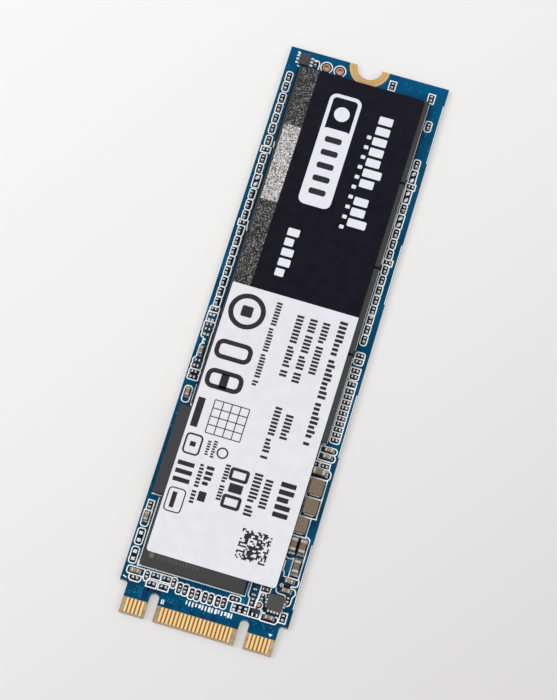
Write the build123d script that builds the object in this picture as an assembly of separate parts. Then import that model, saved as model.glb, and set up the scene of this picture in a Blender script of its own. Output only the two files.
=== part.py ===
from build123d import *
import os

# Single-sided solid-state drive: a 22 by 80 mm circuit card that lies flat on its bare underside.
# Origin at the centre of the underside. +X to the right, +Y to the screw notch, -Y to the
# card edge, +Z up through the chips. Lengths in millimetres, angles in degrees.

# Memory chips, and the gaps between the chips along the card
flash_count = 4
flash_width = 18.0
flash_length = 12.0
flash_thick = 0.8
flash_gap = 0.33
controller_side = 12.0
controller_thick = 0.8
controller_edge_gap = 0.6
controller_gap = 0.45
memory_width = 13.5
memory_length = 9.0
memory_thick = 0.8
memory_edge_gap = 1.9
memory_gap = 0.3
chip_bevel = 0.05
pin_mark_radius = 0.38
pin_mark_depth = 0.02
pin_mark_inset = 1.2
pin_mark_rise = 1.4

# Corner solder balls of the big chips, pressed to drums with flat faces
ball_height = 0.3
ball_radius = 0.22
ball_sides = 8
ball_inset = 0.95

# Card: laminate core with a solder mask on both faces
side_strip = 2.0
head_margin = 2.9
foot_margin = 2.36
core_thick = 0.72
mask_thick = 0.04
copper_thick = 0.035
mask_gap = 0.05

# Card edge: tongue, contact fingers and the two key notches between them
tongue_length = 4.0
tongue_edge_gap = 0.675
shoulder_radius = 0.4
bevel_run = 0.2
bevel_depth = 0.14
mask_setback = 2.1
finger_spacing = 0.5
finger_width = 0.35
finger_length = 1.85
pin_count = 75
key_pin_count = 8
b_key_after_count = 11
m_key_after_count = 58
key_width = 1.2
key_depth = 3.5

# Half-round screw notch with its plated ring, and the two plated test holes
notch_radius = 1.75
notch_ring_radius = 2.75
test_hole_radius = 0.3
test_ring_radius = 0.62
test_hole_x_shares = (-0.515, -0.345)
test_hole_y_share = 0.455

# Label film over the chips, and what it leaves bare of them on each side
label_left_gap = 0.26
label_right_gap = 0.73
label_head_gap = 0.03
label_foot_gap = 1.8
label_thick = 0.1
label_corner = 0.45
label_turn = -0.2

# Ceramic capacitors in three sizes: length, width, height and the metal band at each end
small_length = 0.6
small_width = 0.3
small_height = 0.3
small_band = 0.15
medium_length = 1.0
medium_width = 0.5
medium_height = 0.5
medium_band = 0.25
large_length = 1.6
large_width = 0.8
large_height = 0.8
large_band = 0.35
band_proud = 0.015

# Chip resistors
resistor_length = 0.6
resistor_width = 0.3
resistor_height = 0.23
resistor_band = 0.15

# Power inductors with folded end plates
inductor_length = 2.1
inductor_width = 1.75
inductor_height = 1.0
inductor_bevel = 0.06
end_plate_thick = 0.05
end_plate_width = 1.3
end_plate_height = 0.45
end_plate_foot = 0.45

# Clock crystal under the label
crystal_length = 2.5
crystal_width = 2.0
crystal_base_height = 0.35
crystal_lid_height = 0.2
crystal_lid_inset = 0.15
crystal_corner = 0.12
crystal_gap = 0.6
hidden_column_gap = 1.0

# Power chip without leads: body, and the terminals that show at its rim
power_side = 2.0
power_thick = 0.7
power_lift = 0.05
power_terminal_count = 4
power_terminal_spacing = 0.4
power_terminal_width = 0.2
power_terminal_length = 0.38
power_terminal_proud = 0.12

# Two small chips on bent leads: a temperature sensor with three a side, a load switch with three
lead_thick = 0.1
lead_width = 0.2
lead_foot = 0.22
lead_reach = 0.12
lead_exit_height = 0.28
small_chip_lift = 0.06
small_chip_thick = 0.5
small_chip_bevel = 0.06
sensor_width = 1.2
sensor_length = 1.6
sensor_lead_spacing = 0.5
switch_width = 1.0
switch_length = 0.55
switch_lead_spacing = 0.56

# Bare solder lands of unfitted parts, and the round test point
small_land_width = 0.34
small_land_length = 0.3
small_land_spacing = 0.46
medium_land_width = 0.5
medium_land_length = 0.46
medium_land_spacing = 0.95
test_point_radius = 0.23

# Sizes that follow
flash_pitch = flash_length + flash_gap
flash_column = flash_count * flash_pitch - flash_gap
logic_column = controller_side + memory_gap + memory_length
board_width = flash_width + 2 * side_strip
board_length = (head_margin + flash_column + controller_gap + logic_column
                + foot_margin + tongue_length)
half_width = board_width / 2
half_length = board_length / 2
shoulder_y = tongue_length - half_length
core_top = mask_thick + core_thick
board_top = core_top + mask_thick
flash_top = half_length - head_margin
logic_top = flash_top - flash_column - controller_gap
foot_top = logic_top - logic_column
controller_y = logic_top - controller_side / 2
memory_y = foot_top + memory_length / 2
controller_x = controller_edge_gap + controller_side / 2 - half_width
controller_right_x = controller_x + controller_side / 2
memory_x = memory_edge_gap + memory_width / 2 - half_width
label_width = flash_width - label_left_gap - label_right_gap
label_length = flash_column + controller_gap + logic_column - label_head_gap - label_foot_gap
tongue_width = (pin_count - 1) * finger_spacing / 2 + 2 * tongue_edge_gap
middle_pin_number = (pin_count + 1) / 2
chip_seat = board_top + ball_height
label_seat = chip_seat + max(flash_thick, controller_thick, memory_thick)

# Turn of a part about the vertical
upright_angle = 90
level_angle = 0

# Places down the left strip beside the flash chips, as shares of the flash column from its top
left_column_share = 0.45
left_capacitor_shares = (0.031, 0.061, 0.097, 0.128, 0.158, 0.190, 0.227, 0.282, 0.312,
                         0.388, 0.420, 0.451, 0.498, 0.529, 0.558, 0.588, 0.618, 0.648,
                         0.678, 0.707)
left_level_capacitor_shares = (0.729, 0.775, 0.788, 0.878, 0.893, 0.910, 0.925)
left_resistor_shares = (0.254, 0.474)
left_medium_shares = (0.850, 0.968)
left_land_shares = (0.348, 0.822)
left_level_land_shares = (0.746, 0.760, 0.802)

# Places down the right strip beside the flash chips
right_column_share = 0.62
right_capacitor_shares = (0.062, 0.179, 0.312, 0.386, 0.416, 0.448, 0.493, 0.524, 0.553,
                          0.582, 0.612, 0.639, 0.668, 0.697)
right_ladder_share = 0.58
right_ladder_shares = (0.742, 0.760, 0.786, 0.803, 0.8245, 0.845, 0.861, 0.892, 0.922,
                       0.937, 0.953, 0.968, 0.983)
right_resistor_shares = (0.245, 0.471, 0.876, 0.907)
right_land_shares = (0.216, 0.2745, 0.349)

# Places beside the controller: from the right edge as shares of the side strip, and down from
# the controller's top as shares of the logic column
power_medium_shares = ((0.75, 0.008), (0.75, 0.051), (0.78, 0.842), (0.80, 0.901))
power_large_shares = ((0.95, 0.155),)
power_large_upright_shares = ((1.175, 0.623), (0.58, 0.623), (0.60, 0.748))
power_resistor_shares = ((0.70, 0.112), (1.20, 0.112))
power_capacitor_shares = ((2.06, 0.926),)
power_capacitor_upright_shares = ((0.525, 0.952), (2.63, 1.016), (2.10, 0.976))
power_land_shares = ((2.665, 0.959),)
inductor_x_shares = (0.81, 0.81, 1.115)
inductor_y_shares = (0.255, 0.378, 0.502)
power_chip_shares = (1.21, 0.990)

# Places under the label beside the controller, as shares of the logic column from its top
crystal_y_share = 0.27
hidden_medium_shares = (0.07, 0.12, 0.40, 0.45, 0.50)

# Places down the left strip beside the controller and the buffer memory, as shares of the
# logic column
left_logic_resistor_shares = (0.637,)
left_logic_medium_shares = (0.709,)
left_logic_land_shares = (0.835, 0.951)
left_logic_column_share = 0.39

# Places along the foot strip, as shares of half the width and of the foot margin from its top
foot_medium_shares = ((-0.859, 0.36), (0.755, 0.75))
foot_capacitor_shares = ((-0.838, 0.72), (0.323, 0.30))
foot_upright_shares = ((-0.716, 0.41), (-0.400, 0.38), (-0.314, 0.60), (-0.250, 0.60),
                       (-0.162, 0.68), (-0.100, 0.68), (-0.006, 0.68), (0.056, 0.68),
                       (0.148, 0.68), (0.212, 0.68))
foot_resistor_shares = ((-0.618, 0.30), (-0.491, 0.30), (-0.636, 0.77), (-0.495, 0.76))
foot_resistor_upright_shares = ((0.910, 0.55),)
foot_land_x_shares = (0.344, 0.411, 0.478)
foot_land_y_share = 0.75
test_point_shares = (0.606, 0.25)
switch_chip_shares = (0.591, 0.64)

# Places along the head strip, as shares of half the width and of the head margin from its foot
sensor_chip_shares = (-0.795, 0.476)
head_capacitor_shares = (-0.655, 0.462)
head_resistor_shares = ((0.822, 0.324), (0.323, 0.431))


def beside_flash(side, x_share, y_share):
    """A place in the strip beside the flash chips: side is -1 on the left and 1 on the right."""
    return side * (half_width - x_share * side_strip), flash_top - y_share * flash_column


def beside_controller(x_share, y_share):
    return half_width - x_share * side_strip, logic_top - y_share * logic_column


def under_label(y_share):
    return controller_right_x + hidden_column_gap, logic_top - y_share * logic_column


def beside_logic(y_share):
    return left_logic_column_share * side_strip - half_width, logic_top - y_share * logic_column


def in_foot(x_share, y_share):
    return x_share * half_width, foot_top - y_share * foot_margin


def in_head(x_share, y_share):
    return x_share * half_width, flash_top + y_share * head_margin


def turned(places, angle):
    """Places with their rotation, for parts that all lie the same way."""
    return [(x, y, angle) for x, y in places]


def small_capacitor_places():
    places = turned([beside_flash(-1, left_column_share, s) for s in left_capacitor_shares], upright_angle)
    places += turned([beside_flash(1, right_column_share, s) for s in right_capacitor_shares], upright_angle)
    places += turned([beside_flash(-1, left_column_share, s) for s in left_level_capacitor_shares],
                     level_angle)
    places += turned([beside_flash(1, right_ladder_share, s) for s in right_ladder_shares], level_angle)
    places += turned([beside_controller(x, y) for x, y in power_capacitor_shares], level_angle)
    places += turned([beside_controller(x, y) for x, y in power_capacitor_upright_shares], upright_angle)
    places += turned([in_foot(x, y) for x, y in foot_capacitor_shares], level_angle)
    places += turned([in_foot(x, y) for x, y in foot_upright_shares], upright_angle)
    places += turned([in_head(*head_capacitor_shares)], upright_angle)
    return places


def medium_capacitor_places():
    places = turned([beside_flash(-1, left_column_share, s) for s in left_medium_shares], upright_angle)
    places += turned([beside_logic(s) for s in left_logic_medium_shares], upright_angle)
    places += turned([beside_controller(x, y) for x, y in power_medium_shares], level_angle)
    places += turned([under_label(s) for s in hidden_medium_shares], level_angle)
    places += turned([in_foot(x, y) for x, y in foot_medium_shares], level_angle)
    return places


def large_capacitor_places():
    places = turned([beside_controller(x, y) for x, y in power_large_shares], level_angle)
    places += turned([beside_controller(x, y) for x, y in power_large_upright_shares], upright_angle)
    return places


def resistor_places():
    places = turned([beside_flash(-1, left_column_share, s) for s in left_resistor_shares], level_angle)
    places += turned([beside_flash(1, right_ladder_share, s) for s in right_resistor_shares], level_angle)
    places += turned([beside_logic(s) for s in left_logic_resistor_shares], upright_angle)
    places += turned([beside_controller(x, y) for x, y in power_resistor_shares], level_angle)
    places += turned([in_foot(x, y) for x, y in foot_resistor_shares], level_angle)
    places += turned([in_foot(x, y) for x, y in foot_resistor_upright_shares], upright_angle)
    places += turned([in_head(x, y) for x, y in head_resistor_shares], upright_angle)
    return places


def small_land_places():
    places = turned([beside_flash(-1, left_column_share, s) for s in left_land_shares], upright_angle)
    places += turned([beside_flash(1, right_column_share, s) for s in right_land_shares], upright_angle)
    places += turned([beside_flash(-1, left_column_share, s) for s in left_level_land_shares], level_angle)
    places += turned([in_foot(x, foot_land_y_share) for x in foot_land_x_shares], upright_angle)
    return places


def medium_land_places():
    places = turned([beside_logic(s) for s in left_logic_land_shares], upright_angle)
    places += turned([beside_controller(x, y) for x, y in power_land_shares], upright_angle)
    return places


def test_hole_places():
    return [in_head(x, test_hole_y_share) for x in test_hole_x_shares]


def pin_x(number):
    return (middle_pin_number - number) * finger_spacing / 2


def key_x(after_count):
    """A key notch takes the room of eight pins after a count of them, and stands at their middle."""
    return pin_x(after_count + (key_pin_count + 1) / 2)


def card_outline():
    """The card's plan with its tongue, shoulders, key notches and screw notch, without holes."""
    head = Rectangle(board_width, board_length - tongue_length)
    tongue = Rectangle(tongue_width, tongue_length)
    outline = Pos(0, tongue_length / 2) * head + Pos(0, shoulder_y - tongue_length / 2) * tongue
    neck = min(board_width, tongue_width) / 2
    shoulders = [v for v in outline.vertices()
                 if abs(v.Y - shoulder_y) < mask_gap and abs(abs(v.X) - neck) < mask_gap]
    outline = fillet(shoulders, shoulder_radius)
    key_end_y = key_depth - half_length - key_width / 2
    for after_count in (b_key_after_count, m_key_after_count):
        slot = Pos(key_x(after_count), key_end_y) * Circle(key_width / 2)
        slot += Pos(key_x(after_count), key_end_y - key_depth / 2) * Rectangle(key_width, key_depth)
        outline -= slot
    return outline


def core():
    outline = card_outline()
    outline -= Pos(0, half_length) * Circle(notch_radius + copper_thick)
    for x, y in test_hole_places():
        outline -= Pos(x, y) * Circle(test_hole_radius + copper_thick)
    board = Pos(0, 0, mask_thick) * extrude(outline, core_thick)
    wedge = make_face(Polyline((-half_length, core_top), (bevel_run - half_length, core_top),
                               (-half_length, core_top - bevel_depth), close=True))
    wedge_top = extrude(Plane.YZ * wedge, half_width, both=True)
    wedge_bottom = mirror(wedge_top, Plane.XY.offset(board_top / 2))
    return board - wedge_top - wedge_bottom


def mask_outline():
    """The mask covers the card down to the bare end of the tongue, and stays clear of the rings."""
    outline = card_outline()
    bare_y = mask_setback / 2 - half_length
    outline -= Pos(0, bare_y) * Rectangle(board_width, mask_setback)
    outline -= Pos(0, half_length) * Circle(notch_ring_radius + mask_gap)
    for x, y in test_hole_places():
        outline -= Pos(x, y) * Circle(test_ring_radius + mask_gap)
    return outline


def land_pair(width, length, spacing, grow=0):
    """Plan of the two lands of one part, each grown by a margin on all sides."""
    land = Rectangle(length + 2 * grow, width + 2 * grow)
    return Pos(-spacing / 2, 0) * land + Pos(spacing / 2, 0) * land


def land_plans(grow=0):
    small = land_pair(small_land_width, small_land_length, small_land_spacing, grow)
    medium = land_pair(medium_land_width, medium_land_length, medium_land_spacing, grow)
    plans = [Pos(x, y) * Rot(0, 0, angle) * small for x, y, angle in small_land_places()]
    plans += [Pos(x, y) * Rot(0, 0, angle) * medium for x, y, angle in medium_land_places()]
    return plans


def top_mask():
    outline = mask_outline()
    for plan in land_plans(mask_gap):
        outline -= plan
    outline -= Pos(*in_foot(*test_point_shares)) * Circle(test_point_radius + mask_gap)
    return Pos(0, 0, core_top) * extrude(outline, mask_thick)


def bottom_mask():
    return extrude(mask_outline(), mask_thick)


def bare_lands():
    lands = []
    for plan in land_plans():
        lands += [Pos(0, 0, core_top) * extrude(face, copper_thick) for face in plan.faces()]
    return lands


def plated_ring(bore, ring):
    """A plated hole: a barrel of copper through the core, with a flat ring on each face."""
    low = mask_thick - copper_thick
    high = core_top + copper_thick
    section = Polyline((bore, low), (ring, low), (ring, mask_thick), (bore + copper_thick, mask_thick),
                       (bore + copper_thick, core_top), (ring, core_top), (ring, high), (bore, high),
                       close=True)
    return Plane.XZ * make_face(section)


def screw_ring():
    half_ring = revolve(plated_ring(notch_radius, notch_ring_radius), Axis.Z, 180)
    return Pos(0, half_length, 0) * Rot(0, 0, 180) * half_ring


def test_holes():
    ring = revolve(plated_ring(test_hole_radius, test_ring_radius), Axis.Z)
    return [Pos(x, y, 0) * ring for x, y in test_hole_places()]


def fingers(parity, z):
    """Contact fingers of one face: odd pins on top, even pins underneath, none at the keys."""
    y = bevel_run + finger_length / 2 - half_length
    finger = Box(finger_width, finger_length, copper_thick)
    made = []
    for number in range(1, pin_count + 1):
        at_key = any(0 < number - count <= key_pin_count
                     for count in (b_key_after_count, m_key_after_count))
        if number % 2 == parity and not at_key:
            made.append(Pos(pin_x(number), y, z) * finger)
    return made


def top_edges(part):
    return part.faces().sort_by(Axis.Z)[-1].edges()


def big_chip(width, length, thick):
    """A moulded chip with a bevelled top, seated on its solder balls."""
    body = Pos(0, 0, thick / 2) * Box(width, length, thick)
    return Pos(0, 0, chip_seat) * chamfer(top_edges(body), chip_bevel)


def controller_chip():
    return Pos(controller_x, controller_y) * big_chip(controller_side, controller_side, controller_thick)


def memory_chip():
    """The buffer memory, with the shallow round mark of its first pin where the label leaves it bare."""
    mark = Pos(pin_mark_inset - memory_width / 2, pin_mark_rise - memory_length / 2)
    mark *= Pos(0, 0, chip_seat + memory_thick) * Cylinder(pin_mark_radius, 2 * pin_mark_depth)
    return Pos(memory_x, memory_y) * (big_chip(memory_width, memory_length, memory_thick) - mark)


def flash_chips():
    chip = big_chip(flash_width, flash_length, flash_thick)
    first_y = flash_top - flash_length / 2
    return [Pos(0, first_y - i * flash_pitch) * chip for i in range(flash_count)]


def corner_balls(x, y, width, length):
    """The four corner balls of a chip's grid."""
    ball = extrude(RegularPolygon(ball_radius, ball_sides), ball_height)
    reach_x = width / 2 - ball_inset
    reach_y = length / 2 - ball_inset
    return [Pos(x + side * reach_x, y + end * reach_y, board_top) * ball
            for side in (-1, 1) for end in (-1, 1)]


def solder_balls():
    first_y = flash_top - flash_length / 2
    balls = corner_balls(controller_x, controller_y, controller_side, controller_side)
    balls += corner_balls(memory_x, memory_y, memory_width, memory_length)
    for i in range(flash_count):
        balls += corner_balls(0, first_y - i * flash_pitch, flash_width, flash_length)
    return balls


def chip_body(length, width, height, band):
    """The ceramic between the two metal ends, a little slimmer than they are."""
    slim = 2 * band_proud
    return Pos(0, 0, height / 2) * Box(length - 2 * band, width - slim, height - slim)


def chip_ends(length, width, height, band):
    end = Box(band, width, height)
    reach = (length - band) / 2
    return [Pos(side * reach, 0, height / 2) * end for side in (-1, 1)]


def eased_ends(length, width, height, band):
    """Metal ends of the larger capacitors, with their outer upright corners eased."""
    made = []
    for side, end in zip((-1, 1), chip_ends(length, width, height, band)):
        outer = end.faces().sort_by(Axis.X)[0 if side < 0 else -1]
        made.append(chamfer(outer.edges().filter_by(Axis.Z), band / 5))
    return made


def on_board(parts, places):
    return [Pos(x, y, board_top) * Rot(0, 0, angle) * part for x, y, angle in places for part in parts]


def inductor_places():
    return [beside_controller(x, y) for x, y in zip(inductor_x_shares, inductor_y_shares)]


def inductor_body():
    height = inductor_height - end_plate_thick
    length = inductor_length - 2 * end_plate_thick
    body = Pos(0, 0, height / 2 + end_plate_thick) * Box(inductor_width, length, height)
    return chamfer(top_edges(body) + body.edges().filter_by(Axis.Z), inductor_bevel)


def inductor_end_plate():
    """An L-shaped plate: up the end of the body and folded under it."""
    reach = inductor_length / 2
    inner = reach - end_plate_thick
    fold = Polyline((reach, 0), (reach, end_plate_height), (inner, end_plate_height),
                    (inner, end_plate_thick), (reach - end_plate_foot, end_plate_thick),
                    (reach - end_plate_foot, 0), close=True)
    return extrude(Plane.YZ * make_face(fold), end_plate_width / 2, both=True)


def crystal():
    base = Rectangle(crystal_length, crystal_width)
    base = chamfer(base.vertices(), crystal_corner)
    lid = Rectangle(crystal_length - 2 * crystal_lid_inset, crystal_width - 2 * crystal_lid_inset)
    lid = chamfer(lid.vertices(), crystal_corner)
    can = extrude(base, crystal_base_height)
    can += Pos(0, 0, crystal_base_height) * extrude(lid, crystal_lid_height)
    x = controller_right_x + crystal_gap + crystal_length / 2
    y = logic_top - crystal_y_share * logic_column
    return Pos(x, y, board_top) * can


def power_chip():
    body = Pos(0, 0, power_lift + power_thick / 2) * Box(power_side, power_side, power_thick)
    body = chamfer(top_edges(body), chip_bevel)
    x, y = beside_controller(*power_chip_shares)
    return Pos(x, y, board_top) * body


def power_terminals():
    """A row of flat terminals under each side of the power chip, a little proud of its rim."""
    bar = Box(power_terminal_length, power_terminal_width, power_lift)
    reach = power_side / 2 + power_terminal_proud - power_terminal_length / 2
    x, y = beside_controller(*power_chip_shares)
    made = []
    for quarter in range(4):
        for i in range(power_terminal_count):
            across = (i - (power_terminal_count - 1) / 2) * power_terminal_spacing
            made.append(Pos(x, y, board_top + power_lift / 2) * Rot(0, 0, quarter * 90)
                        * Pos(reach, across, 0) * bar)
    return made


def small_chip(width, length):
    body = Pos(0, 0, small_chip_lift + small_chip_thick / 2) * Box(width, length, small_chip_thick)
    return chamfer(top_edges(body), small_chip_bevel)


def bent_lead():
    """A lead that leaves a body at x = 0, steps down to the board and ends in a flat foot."""
    run = lead_reach + lead_thick
    top = lead_exit_height + lead_thick
    path = Polyline((0, lead_exit_height), (lead_reach, lead_exit_height), (lead_reach, 0),
                    (run + lead_foot, 0), (run + lead_foot, lead_thick), (run, lead_thick),
                    (run, top), (0, top), close=True)
    return extrude(Plane.XZ * make_face(path), lead_width / 2, both=True)


def sensor_leads():
    lead = bent_lead()
    x, y = in_head(*sensor_chip_shares)
    made = []
    for angle in (0, 180):
        for row in (-1, 0, 1):
            made.append(Pos(x, y, board_top) * Rot(0, 0, angle)
                        * Pos(sensor_width / 2, row * sensor_lead_spacing, 0) * lead)
    return made


def switch_leads():
    """Two leads on the foot side of the load switch and one on its far side."""
    lead = bent_lead()
    x, y = in_foot(*switch_chip_shares)
    spots = ((-90, -switch_lead_spacing / 2), (-90, switch_lead_spacing / 2), (90, 0))
    return [Pos(x, y, board_top) * Rot(0, 0, angle) * Pos(switch_length / 2, across, 0) * lead
            for angle, across in spots]


def label():
    film = RectangleRounded(label_width, label_length, label_corner)
    x = (label_left_gap - label_right_gap) / 2
    y = flash_top - label_head_gap - label_length / 2
    return Pos(x, y, label_seat) * Rot(0, 0, label_turn) * extrude(film, label_thick)


def placed(part, place):
    return Pos(place[0], place[1], board_top) * part


small_size = (small_length, small_width, small_height, small_band)
medium_size = (medium_length, medium_width, medium_height, medium_band)
large_size = (large_length, large_width, large_height, large_band)
resistor_size = (resistor_length, resistor_width, resistor_height, resistor_band)
end_plates = [inductor_end_plate(), Rot(0, 0, 180) * inductor_end_plate()]
sensor_body = placed(small_chip(sensor_width, sensor_length), in_head(*sensor_chip_shares))
switch_body = placed(small_chip(switch_width, switch_length), in_foot(*switch_chip_shares))
test_point = placed(Cylinder(test_point_radius, copper_thick), in_foot(*test_point_shares))

nodes = {
    "laminate_core": [core()],
    "solder_mask_top": [top_mask()],
    "solder_mask_bottom": [bottom_mask()],
    "screw_notch_ring": [screw_ring()],
    "plated_test_holes": test_holes(),
    "contact_fingers_top": fingers(1, core_top + copper_thick / 2),
    "contact_fingers_bottom": fingers(0, mask_thick - copper_thick / 2),
    "bare_solder_lands": bare_lands(),
    "round_test_point": [Pos(0, 0, copper_thick / 2 - mask_thick) * test_point],
    "controller_chip": [controller_chip()],
    "buffer_memory_chip": [memory_chip()],
    "solder_balls": solder_balls(),
    "power_chip": [power_chip()],
    "power_chip_terminals": power_terminals(),
    "temperature_sensor": [sensor_body],
    "temperature_sensor_leads": sensor_leads(),
    "load_switch": [switch_body],
    "load_switch_leads": switch_leads(),
    "clock_crystal": [crystal()],
    "small_capacitor_bodies": on_board([chip_body(*small_size)], small_capacitor_places()),
    "small_capacitor_ends": on_board(chip_ends(*small_size), small_capacitor_places()),
    "medium_capacitor_bodies": on_board([chip_body(*medium_size)], medium_capacitor_places()),
    "medium_capacitor_ends": on_board(eased_ends(*medium_size), medium_capacitor_places()),
    "large_capacitor_bodies": on_board([chip_body(*large_size)], large_capacitor_places()),
    "large_capacitor_ends": on_board(eased_ends(*large_size), large_capacitor_places()),
    "resistor_bodies": on_board([chip_body(*resistor_size)], resistor_places()),
    "resistor_ends": on_board(chip_ends(*resistor_size), resistor_places()),
    "label_film": [label()],
}
for number, chip in enumerate(flash_chips(), start=1):
    nodes[f"flash_chip_{number}"] = [chip]
for number, place in enumerate(inductor_places(), start=1):
    nodes[f"power_inductor_{number}"] = [placed(inductor_body(), place)]
nodes["inductor_end_plates"] = [placed(plate, place) for place in inductor_places() for plate in end_plates]

os.makedirs("parts", exist_ok=True)
for name, solids in nodes.items():
    shape = solids[0] if len(solids) == 1 else Compound(children=solids)
    export_step(shape, os.path.join("parts", name + ".step"))
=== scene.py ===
import math
import random

import bmesh
import bpy
from mathutils import Matrix, Vector


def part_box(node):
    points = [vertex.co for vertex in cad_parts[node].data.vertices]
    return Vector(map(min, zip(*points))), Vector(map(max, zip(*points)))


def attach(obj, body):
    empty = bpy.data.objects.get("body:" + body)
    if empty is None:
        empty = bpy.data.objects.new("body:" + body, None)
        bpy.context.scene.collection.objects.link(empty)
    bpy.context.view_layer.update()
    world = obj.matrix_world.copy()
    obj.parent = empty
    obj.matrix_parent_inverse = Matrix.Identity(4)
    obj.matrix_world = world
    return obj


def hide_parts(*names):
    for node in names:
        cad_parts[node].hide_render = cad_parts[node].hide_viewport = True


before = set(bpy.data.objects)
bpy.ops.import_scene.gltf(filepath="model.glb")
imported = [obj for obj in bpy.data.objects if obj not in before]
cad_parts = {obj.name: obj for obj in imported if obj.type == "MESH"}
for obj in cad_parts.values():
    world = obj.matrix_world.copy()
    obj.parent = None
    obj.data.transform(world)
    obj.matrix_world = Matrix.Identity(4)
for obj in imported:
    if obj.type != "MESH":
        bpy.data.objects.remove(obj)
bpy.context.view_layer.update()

# Solid-state drive card, dressed. All places are in the card's own frame: +X right, +Y to the screw
# notch, +Z up through the chips. Lengths are in millimetres, and MM turns them into metres.
MM = 0.001

# Camera of the photograph, which is 557 by 700 pixels
camera_place = Vector((20.248, -84.51, 282.736))
camera_target = Vector((-0.569, -1.307, 0.0))
camera_roll = 17.317
camera_lens = 117.116
sensor_long_side = 36.0
camera_near = 10.0
camera_far = 5000.0

# Floor, sky and lamps. A lamp has a name, a place, the length of its side, and its watts
floor_half = 1600.0
floor_lift = 0.42
floor_drop = 0.02
floor_turn = 40
# Painted light on the floor: paler towards the lamp, darker away from it
floor_painted_light_stops = ((0.0, (252, 252, 252)), (0.5, (237, 236, 236)), (1.0, (211, 209, 210)))
lamps = (
    ("key_lamp", Vector((-420.0, -60.0, 640.0)), 420.0, 2.2),
    ("fill_lamp", Vector((420.0, -160.0, 560.0)), 520.0, 1.2),
)
sky_strength = 0.74
sky_stops = ((0.0, 0.5), (0.3, 0.9), (0.86, 1.0), (0.94, 0.1))

# White ink on the board, and the dark land windows inside its outlines
ink_width = 0.145
thin_ink_width = 0.075
corner_cut = 0.09
corner_cut_share = 0.4
mitre_least = 0.5
ink_proud = 0.012
ink_step = 0.0003
ink_levels = 31
window_proud = 0.005
window_gap = 0.02
sunk = 0.004
corner_steps = 5
chamfer = 1

# Nodes of the metal ends that the two-ended parts are found by
end_nodes = {
    "small": "small_capacitor_ends",
    "resistor": "resistor_ends",
    "bare": "bare_solder_lands",
    "medium": "medium_capacitor_ends",
    "large": "large_capacitor_ends",
}
skew_cost = 4

# Half the length and half the width of a part's outline, and its corner radius
plain_outlines = {
    "small": (0.76, 0.43, 0.3),
    "resistor": (0.67, 0.44, 0.0),
    "bare": (1.02, 0.49, 0.12),
    "medium": (1.1, 0.48, 0.34),
    "large": (1.3, 0.62, 0.2),
}
wide_land_outline = (1.08, 0.48, 0.32)
wide_land_size = 0.4
twin_pitch = 0.9
twin_step = 0.3
column_reach = 2
ladder_reach = 1.03
ladder_half_width = 0.63
ladder_end_reach = 0.42

# Frame of the row of lands at the foot
row_side = 0.33
row_drop = 0.54
row_height = 1.23
switch_side = 0.14

# Places where the ink lies a little beside its parts: left, low, right and high side, and the shift
ink_shifts = (
    (-11.0, 1.8, -9.0, 21.2, 0.12, 0.0),
    (-11.0, -9.0, -9.0, 1.8, 0.06, 0.0),
    (9.0, 1.8, 11.0, 37.0, -0.05, 0.0),
    (-8.0, -36.5, -4.6, -33.9, 0.0, -0.08),
)

# Outlines that differ: kind and place of the part, the reach of the outline to its left, down, to its
# right and up, the corner radii from the lower left one anticlockwise, and the steps of a corner
special_outlines = (
    ("medium", -9.45, -34.49, 1.08, 0.5, 1.15, 0.49, (0.3, 0, 0, 0.3), corner_steps),
    ("small", -9.22, -35.34, 0.8, 0.45, 0.75, 0.36, (0.25, 0.25, 0, 0), chamfer),
    ("small", -7.88, -34.61, 0.37, 0.7, 0.38, 0.74, (0.25, 0.25, 0.25, 0.25), chamfer),
    ("small", -4.4, -34.54, 0.34, 0.76, 0.4, 0.64, (0.25, 0.25, 0.2, 0.2), chamfer),
    ("medium", 9.5, -12.51, 1.1, 0.52, 1.09, 0.38, (0, 0.42, 0.42, 0), corner_steps),
    ("medium", 9.5, -13.43, 1.1, 0.6, 1.09, 0.4, (0, 0.42, 0.42, 0), corner_steps),
    ("resistor", 8.6, -14.73, 0.5, 0.35, 0.33, 0.42, (0, 0, 0, 0), corner_steps),
    ("resistor", 9.6, -14.73, 0.67, 0.35, 0.63, 0.42, (0, 0, 0, 0), corner_steps),
    ("large", 9.1, -15.64, 1.0, 0.82, 1.54, 0.49, (0, 0.5, 0.5, 0), corner_steps),
    ("medium", -10.1, -10.32, 0.5, 1.38, 0.5, 0.87, (0.4, 0.4, 0.4, 0.4), corner_steps),
    ("resistor", -10.22, -25.91, 0.36, 0.68, 0.44, 0.66, (0, 0, 0, 0), corner_steps),
    ("medium", -10.22, -27.44, 0.48, 1.3, 0.48, 0.85, (0.35, 0.35, 0.05, 0.05), corner_steps),
)

# Parts whose outlines are strokes of their own, listed further down
stroked_parts = (
    ("large", 8.65, -25.61), ("large", 9.84, -25.61), ("large", 9.8, -28.27), ("medium", 9.44, -30.28),
    ("medium", 9.4, -31.53), ("small", 9.95, -32.62), ("medium", 8.3, -35.41), ("small", 6.88, -32.06),
    ("small", 6.8, -33.13), ("small", 5.74, -33.98), ("bare", 5.67, -32.77), ("small", -7.2, 38.44),
    ("bare", -10.1, 0.55), ("bare", -10.1, -0.13), ("small", -10.1, -0.87), ("small", -10.1, -1.5),
    ("bare", -10.1, -2.19), ("bare", -10.1, -3.17), ("medium", -10.1, -4.54), ("small", -10.1, -5.91),
    ("small", -10.1, -6.65),
)
bulging_pair = ((-10.1, -7.48), (-10.1, -8.22))
bulge_reach = 0.72
bulge_pinch = 0.1
inductor_outline = (1.04, 1.32, 1.07, 1.28)

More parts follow.
